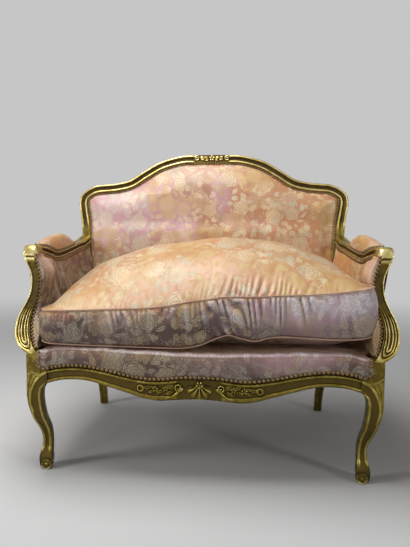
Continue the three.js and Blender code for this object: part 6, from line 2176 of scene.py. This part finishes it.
@dataclass
class ArmPads:
    """Stuffed insides of the arms, cloth outsides, and the manchettes on the rails."""

    finishes: Finishes
    rows: int = 56
    columns: int = 76
    length: float = 0.33
    width: float = 0.042
    height: float = 0.05
    middle_y: float = -0.034

    height_table = [[0, 0.06], [0.08, 0.24], [0.18, 0.5], [0.33, 0.86], [0.5, 1], [0.65, 0.95], [0.8, 0.66], [0.92, 0.3], [1, 0.06]]

    def inside(self) -> Array:
        """Face of the right arm's inside, with its lap round the support."""
        v = np.linspace(0, 1, self.rows)[:, None]
        u = (np.linspace(0, 1, self.columns) ** 1.1)[None]
        rough = mix(arm_foot_z(), PLAN.arm_seat_z, v)
        y = arm_span(rough, u)
        z = mix(arm_foot_z(), arm_gilt_edge(y), v)
        y = arm_span(z, u)
        x = arm_inside_x(y, z)
        x = x - arm_swell(u, v)
        x = x - 0.0012 * wrinkled(np.stack([y + 0 * z, z * 0.5 + 0 * y], -1), 15, 23)
        x = x + 0.0014 * puckers(y, (1 - v) * 0.25 + 0 * u, 0.0105, 0.012)
        face = points(x, y, z)
        inner, width, front, post_back = PLAN.post_at(z[:, 0])
        depth = post_back - front
        lap_x = np.minimum(inner - 0.0036, x[:, 0])
        lap_y = front + depth * 0.2 - 0.0026
        lap = [(inner + width * 0.13, lap_y + 0.0012), (inner + width * 0.06, lap_y - 0.0012), (lap_x + 0.0012, lap_y), (lap_x, lap_y + depth * 0.1),
               (lap_x, lap_y + depth * 0.3), (lap_x - 0.001, lap_y + depth * 0.55)]
        wrap = np.stack([points(px, py, z[:, 0]) for px, py in lap], axis=1)
        return np.concatenate([wrap, face], axis=1)

    def manchette(self) -> Array:
        """Face of the right manchette."""
        v = np.linspace(0, 1, 90)[:, None]
        u = np.linspace(0, 1, 34)[None]
        y = self.middle_y + self.length * (v - 0.5)
        middle = PLAN.arm_middle(PLAN.arm_share(y[:, 0]))[:, None]
        base = middle[..., 2] + PLAN.arm_gilt * 0.08 + 0.0004
        rise = self.height * smooth_at(self.height_table, v)[0]
        plan = manchette_half(v)
        angle = np.pi * (1 - u)
        cosine = np.cos(angle)
        fold = 1 - np.abs(np.sin(np.pi * (v * self.length / 0.0145 + 0.4 * np.sin(v * 19)))) ** 0.6
        pleat = fold * np.exp(-(((np.sin(angle) - 0.25) / 0.5) ** 2))
        wide = self.width / 2 * plan * (1 + 0.06 * np.sin(angle)) - 0.0026 * pleat
        x = middle[..., 0] + wide * np.sign(cosine) * np.abs(cosine) ** 0.75
        z = base + np.maximum(rise * np.sin(angle) ** 0.8 - 0.0012 * pleat, 0.0006)
        return points(x, y + 0 * x, z)

    def build(self) -> None:
        """Builds the pads and cloths of both arms."""
        inside = self.inside()
        top = self.manchette()
        v = np.linspace(0, 1, 40)[:, None]
        u = np.linspace(0, 1, 50)[None]
        y = arm_span(mix(PLAN.rail_top, PLAN.arm_seat_z, v), u)
        low = smooth_at(PLAN.side_edges_table, PLAN.side_share(y))[0] * 0 + PLAN.side_edges(y)[1] + 0.0015
        z = mix(low, arm_gilt_edge(y), v)
        y = arm_span(z, u)
        out = points(arm_outside_x(y, z) + 0.0005 * wrinkled(np.stack([y, z], -1), 8, 31), y, z)
        for name, turn in (("right", lambda g: g), ("left", mirrored)):
            back = inside.copy()
            back[:, 6:, 0] = np.maximum(arm_outside_x(inside[:, 6:, 1], inside[:, 6:, 2]) - 0.007, inside[:, 6:, 0] + 0.001)
            back[:, :6, 0] = inside[:, :6, 0] + 0.0008
            back[:, :6, 1] = inside[:, :6, 1] + 0.0005
            run = np.cumsum(np.linalg.norm(np.diff(inside, axis=1, prepend=inside[:, :1]), axis=-1), axis=1)
            cloth = np.stack([run, inside[..., 2]], -1) + 15.0
            piece = lay_grid(f"inside_arm_pad_{name}", turn(slab(inside, back)), slab(cloth, cloth), closed=True)
            soften(piece, 60)
            # Painted light: the right pad is lit and the left in painted shade; painted sheen on the puff behind the
            # support
            silk_values(piece, 0.95 if name == "right" else 0.05, 0.5, lambda s: 0.2 + 0.9 * np.exp(-(((s[:, 1] + 0.23) / 0.05) ** 2) - ((s[:, 2] - 0.57) / 0.04) ** 2))
            finish_piece(piece, self.finishes.silk, [f"inside_arm_cover_{name}", f"arm_stuffing_{name}"])
            thick = out - np.array([0.0008, 0, 0])
            cloth = np.stack([out[..., 1], out[..., 2]], -1) + 17.0
            piece = lay_grid(f"outside_arm_cloth_{name}", turn(slab(out, thick)), slab(cloth, cloth), closed=True)
            soften(piece, 60)
            # Painted light from the way the cloth faces, with an even painted sheen
            silk_values(piece, 0.4, 0.3, lambda s: 0 * s[:, 0] + 0.35)
            finish_piece(piece, self.finishes.silk, [f"outside_arm_cover_{name}"])
            base = top.copy()
            base[..., 2] = np.minimum(top[..., 2] - 0.0002, top[:, :1, 2])
            cloth = np.stack([top[..., 1], np.cumsum(np.linalg.norm(np.diff(top, axis=1, prepend=top[:, :1]), axis=-1), axis=1)], -1) + 19.0
            piece = lay_grid(f"manchette_pad_{name}", turn(slab(top, base)), slab(cloth, cloth), closed=True)
            soften(piece, 70)
            # Painted light from the way the cloth faces, lighter overall, with an even painted sheen
            silk_values(piece, 0.72, 0.25, lambda s: 0 * s[:, 0] + 0.15)
            finish_piece(piece, self.finishes.silk, [f"manchette_cover_{name}", f"manchette_stuffing_{name}"])


@dataclass
class Springing:
    """Webbing, springs and the canvas over them, seen from below."""

    finishes: Finishes
    web_width: float = 0.052
    web_thick: float = 0.002
    turns: float = 2.5
    wire: float = 0.002

    def strap(self, name: str, line: Array, across: Array) -> None:
        """A strap of webbing along a line, tacked to two rails."""
        u = np.linspace(-0.5, 0.5, 9)
        flat = line[:, None] + across * (self.web_width * u)[None, :, None]
        grid = slab(flat, flat - np.array([0, 0, self.web_thick]))
        piece = lay_grid(name, grid, closed=True)
        soften(piece, 40)
        finish_piece(piece, self.finishes.jute, ["seat_webbing"])
        float(lengths(line)[-1])

    def webbing(self) -> None:
        """Five straps from front to back and three across, over and under each other."""
        top = PLAN.webbing_ledge - 0.0004
        inset = PLAN.leg_inner_x - self.web_width
        columns = np.linspace(-inset, inset, 5)
        rows = np.linspace(PLAN.leg_back_y + self.web_width, PLAN.rear_leg_front_y - self.web_width, 3)
        drop = 0.0023
        for k, x in enumerate(columns):
            y = np.linspace(float(PLAN.front_face_y(x)) + 0.028, PLAN.rear_rail_front_y + 0.014, 90)
            wave = sum((-1) ** (k + j) * np.exp(-(((y - r) / 0.03) ** 4)) for j, r in enumerate(rows))
            z = top - drop / 2 * (1 + wave)
            self.strap(f"webbing_lengthways_{k + 1}", points(x + 0 * y, y, z), np.array([1.0, 0, 0]))
        for j, y in enumerate(rows):
            reach = min(float(PLAN.side_face_x(y - self.web_width)), float(PLAN.side_face_x(y + self.web_width))) - 0.028
            x = np.linspace(-reach, reach, 130)
            wave = sum((-1) ** (k + j) * np.exp(-(((x - c) / 0.03) ** 4)) for k, c in enumerate(columns))
            z = top - drop / 2 * (1 - wave)
            self.strap(f"webbing_crossways_{j + 1}", points(x, y + 0 * x, z), np.array([0, 1.0, 0]))

    def springs(self) -> None:
        """Nine hourglass springs, each its own coil."""
        number = 0
        rows = np.linspace(PLAN.leg_back_y + self.web_width, PLAN.rear_leg_front_y - self.web_width, 3)
        for y in rows:
            for x in (-0.27, 0.0, 0.27):
                number += 1
                t = np.linspace(0, 1, 90)
                angle = TAU * self.turns * t
                reach = mix(0.042, 0.029, np.sin(np.pi * t) ** 2)
                foot = PLAN.webbing_ledge - 0.0003 + 0.00035 + self.wire
                head = float(canvas_top(np.array(x), np.array(y))) - 0.0012 - 0.00105 - self.wire
                line = points(x + reach * np.cos(angle), y + reach * np.sin(angle), mix(foot, head, t))
                along = np.gradient(line, axis=0)
                along /= np.linalg.norm(along, axis=1, keepdims=True)
                side = np.cross(along, [0, 0, 1.0])
                side /= np.linalg.norm(side, axis=1, keepdims=True)
                up = np.cross(side, along)
                round_ = np.linspace(0, TAU, 9)[:-1]
                ring = line[:, None] + self.wire * (side[:, None] * np.cos(round_)[None, :, None] + up[:, None] * np.sin(round_)[None, :, None])
                piece = lay_grid(f"coil_spring_{number}", ring, values={"relief": np.full(ring.shape[:2], 0.2)}, closed=True)
                soften(piece, 60)
                finish_piece(piece, self.finishes.steel, [f"seat_spring_{number}"])

    def canvas(self) -> None:
        """The linen stretched over the springs."""
        y = np.linspace(-0.33, PLAN.rear_leg_front_y - 0.004, 40)[:, None]
        wide = mix(0.40, PLAN.side_face_x(y) - 0.02, ease(y, -0.312, -0.29))
        x = np.linspace(-1, 1, 60)[None] * wide
        y = y + 0 * x
        top = points(x, y, canvas_top(x, y))
        piece = lay_grid("spring_linen", slab(top, top - np.array([0, 0, 0.0012])), closed=True)
        soften(piece, 40)
        finish_piece(piece, self.finishes.canvas, ["spring_canvas"])
        area = float(np.sum(np.diff(y[:, 0]) * 2 * wide[1:, 0]))

    def build(self) -> None:
        """Builds all that springs the seat."""
        self.webbing()
        self.springs()
        self.canvas()


@dataclass
class Nails:
    """Close rows of domed bronze nails, and the braid beside the manchettes."""

    finishes: Finishes
    radius: float = 0.0053
    rise: float = 0.0034

    def dome(self) -> bpy.types.Object:
        """One nail's head, made from a sphere that is cut and flattened."""
        deselect_all()
        bpy.ops.mesh.primitive_uv_sphere_add(segments=10, ring_count=6, radius=1)
        nail = bpy.context.object
        bpy.ops.object.mode_set(mode="EDIT")
        bpy.ops.mesh.select_all(action="SELECT")
        bpy.ops.mesh.bisect(plane_co=(0, 0, -0.05), plane_no=(0, 0, 1), clear_inner=True, use_fill=True)
        bpy.ops.mesh.select_all(action="SELECT")
        bpy.ops.transform.resize(value=(self.radius, self.radius, self.rise), center_override=(0, 0, 0))
        bpy.ops.object.mode_set(mode="OBJECT")
        bpy.ops.object.shade_smooth_by_angle(angle=math.radians(60))
        # Painted highlight on the crown and painted shade at the rim, besides rubbing
        set_values(nail, "relief", places_of(nail)[:, 2] / self.rise * 1.2 - 0.4)
        return nail

    def row(self, name: str, line: Array, out: Array, pitch: float = 0.0119, size: float = 1.0) -> None:
        """A row of nails.

        Args:
            name: Name of the row.
            line: Points that it follows.
            out: The way out of the cloth at each of those points.
            pitch: Distance from nail to nail.
            size: Size of its nails as a share.
        """
        count = max(int(lengths(line)[-1] / pitch) + 1, 2)
        spots = even_line(np.concatenate([line, np.broadcast_to(out, line.shape)], axis=1), count)
        master = places_of(self.nail)
        heads = []
        for spot in spots:
            way = spot[3:] / np.linalg.norm(spot[3:])
            side = np.cross([0.31, 0.2, 0.93], way)
            side /= np.linalg.norm(side)
            up = np.cross(way, side)
            copy = self.nail.copy()
            copy.data = self.nail.data.copy()
            bpy.context.scene.collection.objects.link(copy)
            put_places(copy, spot[:3] + size * (master[:, :1] * side + master[:, 1:2] * up + master[:, 2:] * way))
            heads.append(copy)
        piece = join_all(name, heads)
        finish_piece(piece, self.finishes.nail)

    def braid(self, name: str, line: Array, radius: float = 0.0016) -> None:
        """A pale braid laid as a thin cord round a manchette."""
        along = np.gradient(line, axis=0)
        along /= np.linalg.norm(along, axis=1, keepdims=True)
        side = np.cross(along, [0, 0, 1.0])
        side /= np.linalg.norm(side, axis=1, keepdims=True)
        angle = np.linspace(0, TAU, 9)[:-1]
        twist = radius * (1 + 0.12 * np.sin(lengths(line) * 1500))[:, None, None]
        ring = line[:, None] + twist * (side[:, None] * np.cos(angle)[None, :, None] + np.array([0, 0, 1.0]) * np.sin(angle)[None, :, None])
        piece = lay_grid(name, ring, closed=True)
        soften(piece, 180)
        finish_piece(piece, self.finishes.braid)

    def both(self, name: str, line: Array, out: Array, pitch: float = 0.0119, size: float = 1.0) -> None:
        """A row on the right and its mirror image on the left."""
        out = np.broadcast_to(out, line.shape)
        self.row(f"{name}_right", line, out, pitch, size)
        self.row(f"{name}_left", mirrored(line), mirrored(out), pitch, size)

    def build(self) -> None:
        """Drives every row."""
        self.nail = self.dome()
        ahead = np.array([0, -1.0, 0])
        x = np.linspace(-0.437, 0.437, 240)
        block = ease(np.abs(x), PLAN.leg_inner_x - 0.014, PLAN.leg_inner_x + 0.001)
        face = mix(PLAN.front_face_y(x) + 0.0022, PLAN.knee_front_y - 0.0037, block)
        line = points(x, face, PLAN.front_edges(x)[1] + 0.0068 + 0.005 * ease(np.abs(x), 0.425, 0.437))
        self.row("nails_apron", line, ahead)
        z = np.linspace(0.3165, 0.346, 5)
        self.both("nails_block", points(0.439, PLAN.knee_front_y - 0.004, z), ahead, 0.0102)
        z = np.linspace(0.352, 0.606, 60)
        inner, width, front, back = PLAN.post_at(z)
        self.both("nails_post", points(inner + width * 0.1, front + (back - front) * 0.2 - 0.003, z), ahead, 0.0104, 0.92)
        s = np.linspace(0.015, 0.9, 80)
        middle = PLAN.arm_middle(s)
        y, z = middle[:, 1], middle[:, 2] - PLAN.arm_gilt - 0.0072
        start, end = arm_span(z, np.zeros(1)), arm_span(z, np.ones(1))
        v = (z - arm_foot_z()) / (arm_gilt_edge(y) - arm_foot_z())
        line = points(arm_inside_x(y, z) - arm_swell(np.clip((y - start) / (end - start), 0, 1), v) - 0.0008, y, z)
        self.both("nails_arm", line, np.array([-0.86, -0.42, -0.28]), 0.0104, 0.92)
        line = points(middle[:, 0] + PLAN.arm_width / 2 - 0.0005, middle[:, 1], middle[:, 2] - PLAN.arm_gilt - 0.0068)
        self.both("nails_arm_outside", line, np.array([1.0, 0, 0]), 0.0119, 0.92)
        place = np.concatenate([np.linspace(PLAN.place_of_height(0.655), PLAN.crest_place, 160)])
        ring = PLAN.back_rings(place, np.array([[0.885, 0.22]]))[:, 0]
        ring[:, 1] -= 0.0024
        line = np.concatenate([ring, mirrored(ring[-2::-1])])
        self.row("nails_back", line, np.array([0, -0.977, 0.215]), 0.0098, 0.86)
        place = np.linspace(PLAN.place_of_height(0.31), PLAN.crest_place, 160)
        ring = PLAN.back_rings(place, np.array([[0.66, 1.0]]))[:, 0]
        ring[:, 1] += 0.0026
        self.row("nails_outside_back", np.concatenate([ring, mirrored(ring[-2::-1])]), np.array([0, 0.977, -0.215]), 0.0119)
        y = np.linspace(PLAN.leg_back_y + 0.008, PLAN.rear_leg_front_y - 0.004, 80)
        line = points(PLAN.side_face_x(y) - 0.005, y, PLAN.side_edges(y)[1] + 0.0068)
        self.both("nails_side_rail", line, np.array([1.0, 0, 0]))
        pad = ArmPads(self.finishes)
        v = np.linspace(0.004, 0.996, 90)
        y = pad.middle_y + pad.length * (v - 0.5)
        middle = PLAN.arm_middle(PLAN.arm_share(y))
        half = pad.width / 2 * manchette_half(v) + 0.0002
        height = middle[:, 2] + 0.0052
        loop = np.concatenate([points(middle[:, 0] + half, y, height), points(middle[:, 0] - half, y, height)[::-1]])
        loop = np.concatenate([loop, loop[:1]])
        along = np.gradient(loop, axis=0)
        out = points(along[:, 1], -along[:, 0], 0.6 * np.linalg.norm(along, axis=1))
        self.both("nails_manchette", loop, out, 0.0096, 0.66)
        self.braid("braid_manchette_right", loop - [0, 0, 0.0034])
        self.braid("braid_manchette_left", mirrored(loop - [0, 0, 0.0034]))
        bpy.data.objects.remove(self.nail)


# Room, light and camera


@dataclass
class Studio:
    """Pale floor without a horizon, soft lamps and the camera at the photograph's place."""

    pale: tuple[int, int, int] = (198, 198, 198)
    floor_tone: tuple[int, int, int] = (222, 222, 222)
    camera_place: tuple[float, float, float] = (0.082, -1.874, 0.7)
    yaw: float = 5.98
    pitch: float = 5.3
    roll: float = -0.13
    focal_pixels: float = 577.0
    frame_height: float = 547.0
    shift: tuple[float, float] = (0.0603, 0.003)

    def floor(self) -> None:
        """A round floor that fades into the backdrop's tone."""
        deselect_all()
        bpy.ops.mesh.primitive_circle_add(vertices=96, radius=14, fill_type="NGON", location=(0, 0, 0))
        floor = bpy.context.object
        floor.name = floor.data.name = "studio_floor"
        shade = Shade("pale_floor")
        place = shade.place()
        shade.set(base_color=blend(noise(place, 3, 3) * 0.4, self.floor_tone, (212, 212, 212)), roughness=0.75)
        shade.bump(noise(place, 160, 3), 0.0003, 0.2)
        self.fade(shade, place)
        floor.data.materials.append(shade.material)

    def seen_rays(self, tree: bpy.types.NodeTree) -> Wire:
        """One for the camera's rays and those that gloss and clear things pass on."""
        path = tree.nodes.new("ShaderNodeLightPath")
        seen = Wire(tree, path.outputs["Is Camera Ray"])
        for name in ("Is Glossy Ray", "Is Transmission Ray"):
            seen = seen.math("MAXIMUM", Wire(tree, path.outputs[name]))
        return seen

    def fade(self, shade: Shade, place: Wire) -> None:
        """Turns the floor far from the chair into the backdrop's plain tone for the camera."""
        tree = shade.tree
        x, y, _ = place.split()
        far = (x * x + y * y).math("SQRT").step(1.1, 4.0)
        seen = self.seen_rays(tree)
        glow = tree.nodes.new("ShaderNodeEmission")
        glow.inputs[0].default_value = linear(self.pale)
        both = tree.nodes.new("ShaderNodeMixShader")
        tree.links.new((far * seen).socket, both.inputs[0])
        tree.links.new(shade.surface.outputs[0], both.inputs[1])
        tree.links.new(glow.outputs[0], both.inputs[2])
        tree.links.new(both.outputs[0], tree.nodes["Material Output"].inputs[0])

    def lamp(self, name: str, place: Sequence[float], aim: Sequence[float], size: tuple[float, float], watts: float) -> None:
        """A soft rectangular lamp.

        Args:
            name: Its name.
            place: Where it hangs.
            aim: The point that it is turned to.
            size: Its width and height.
            watts: Its power.
        """
        bpy.ops.object.light_add(type="AREA", location=place)
        lamp = bpy.context.object
        lamp.name = name
        way = np.array(aim, float) - np.array(place, float)
        flat = math.hypot(way[0], way[1])
        lamp.rotation_euler = (math.pi / 2 - math.atan2(-way[2], flat), 0, math.atan2(-way[0], way[1]))
        lamp.data.shape = "RECTANGLE"
        lamp.data.size, lamp.data.size_y = size
        lamp.data.energy = watts

    def light(self) -> None:
        """A large lamp above, a weaker one in front and a dim room."""
        self.lamp("lamp_above", (-0.45, -0.15, 2.4), (0, 0, 0.4), (1.7, 1.1), 41)
        self.lamp("lamp_left", (-2.3, -1.3, 1.2), (0, 0, 0.5), (0.5, 1.3), 19)
        self.lamp("lamp_strip", (-1.2, -1.7, 0.5), (0.1, -0.3, 0.42), (0.12, 0.5), 2.0)
        self.lamp("lamp_right", (2.4, -2.0, 1.2), (0, 0, 0.4), (0.4, 1.2), 12)
        world = bpy.data.worlds.new("studio_air")
        bpy.context.scene.world = world
        world.use_nodes = True
        tree = world.node_tree
        room = tree.nodes["Background"]
        room.inputs[0].default_value = linear((190, 190, 190))
        room.inputs[1].default_value = 0.15
        seen = tree.nodes.new("ShaderNodeBackground")
        seen.inputs[0].default_value = linear(self.pale)
        both = tree.nodes.new("ShaderNodeMixShader")
        tree.links.new(self.seen_rays(tree).socket, both.inputs[0])
        tree.links.new(room.outputs[0], both.inputs[1])
        tree.links.new(seen.outputs[0], both.inputs[2])
        tree.links.new(both.outputs[0], tree.nodes["World Output"].inputs[0])

    def camera(self) -> None:
        """The camera, found from the photograph's perspective."""
        turn = (math.radians(90 - self.pitch), math.radians(self.roll), math.radians(self.yaw))
        bpy.ops.object.camera_add(location=self.camera_place, rotation=turn)
        camera = bpy.context.object
        camera.name = "camera_photograph"
        camera.data.sensor_width = 36.0
        camera.data.lens = self.focal_pixels / self.frame_height * 36.0
        camera.data.shift_x, camera.data.shift_y = self.shift
        bpy.context.scene.camera = camera
        bpy.context.scene.view_settings.view_transform = "Standard"

    def build(self) -> None:
        """Sets up the studio."""
        self.camera()
        self.floor()
        self.light()


def dress_solids(finishes: Finishes) -> None:
    """Gives the solids that stay in view their finish."""
    choices = {
        "rear_rail": finishes.gilt, "lower_back_rail": finishes.beech, "corner_block": finishes.beech,
        "crest_dowel": finishes.beech, "corner_screw": finishes.screw,
    }
    for name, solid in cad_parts.items():
        material = next((m for key, m in choices.items() if name.startswith(key)), finishes.beech)
        solid.data.materials.clear()
        solid.data.materials.append(material)


def main() -> None:
    """Builds the chair piece by piece."""
    Studio().build()
    finishes = Finishes()
    dress_solids(finishes)
    for part in (BackFrame, Arms, SeatRails, FrontLegs, Springing, Deck, BackPads, ArmPads, Cushion, Nails):
        log.info("%s", part.__name__)
        part(finishes).build()
    deselect_all()


if __name__ == "__main__":
    main()
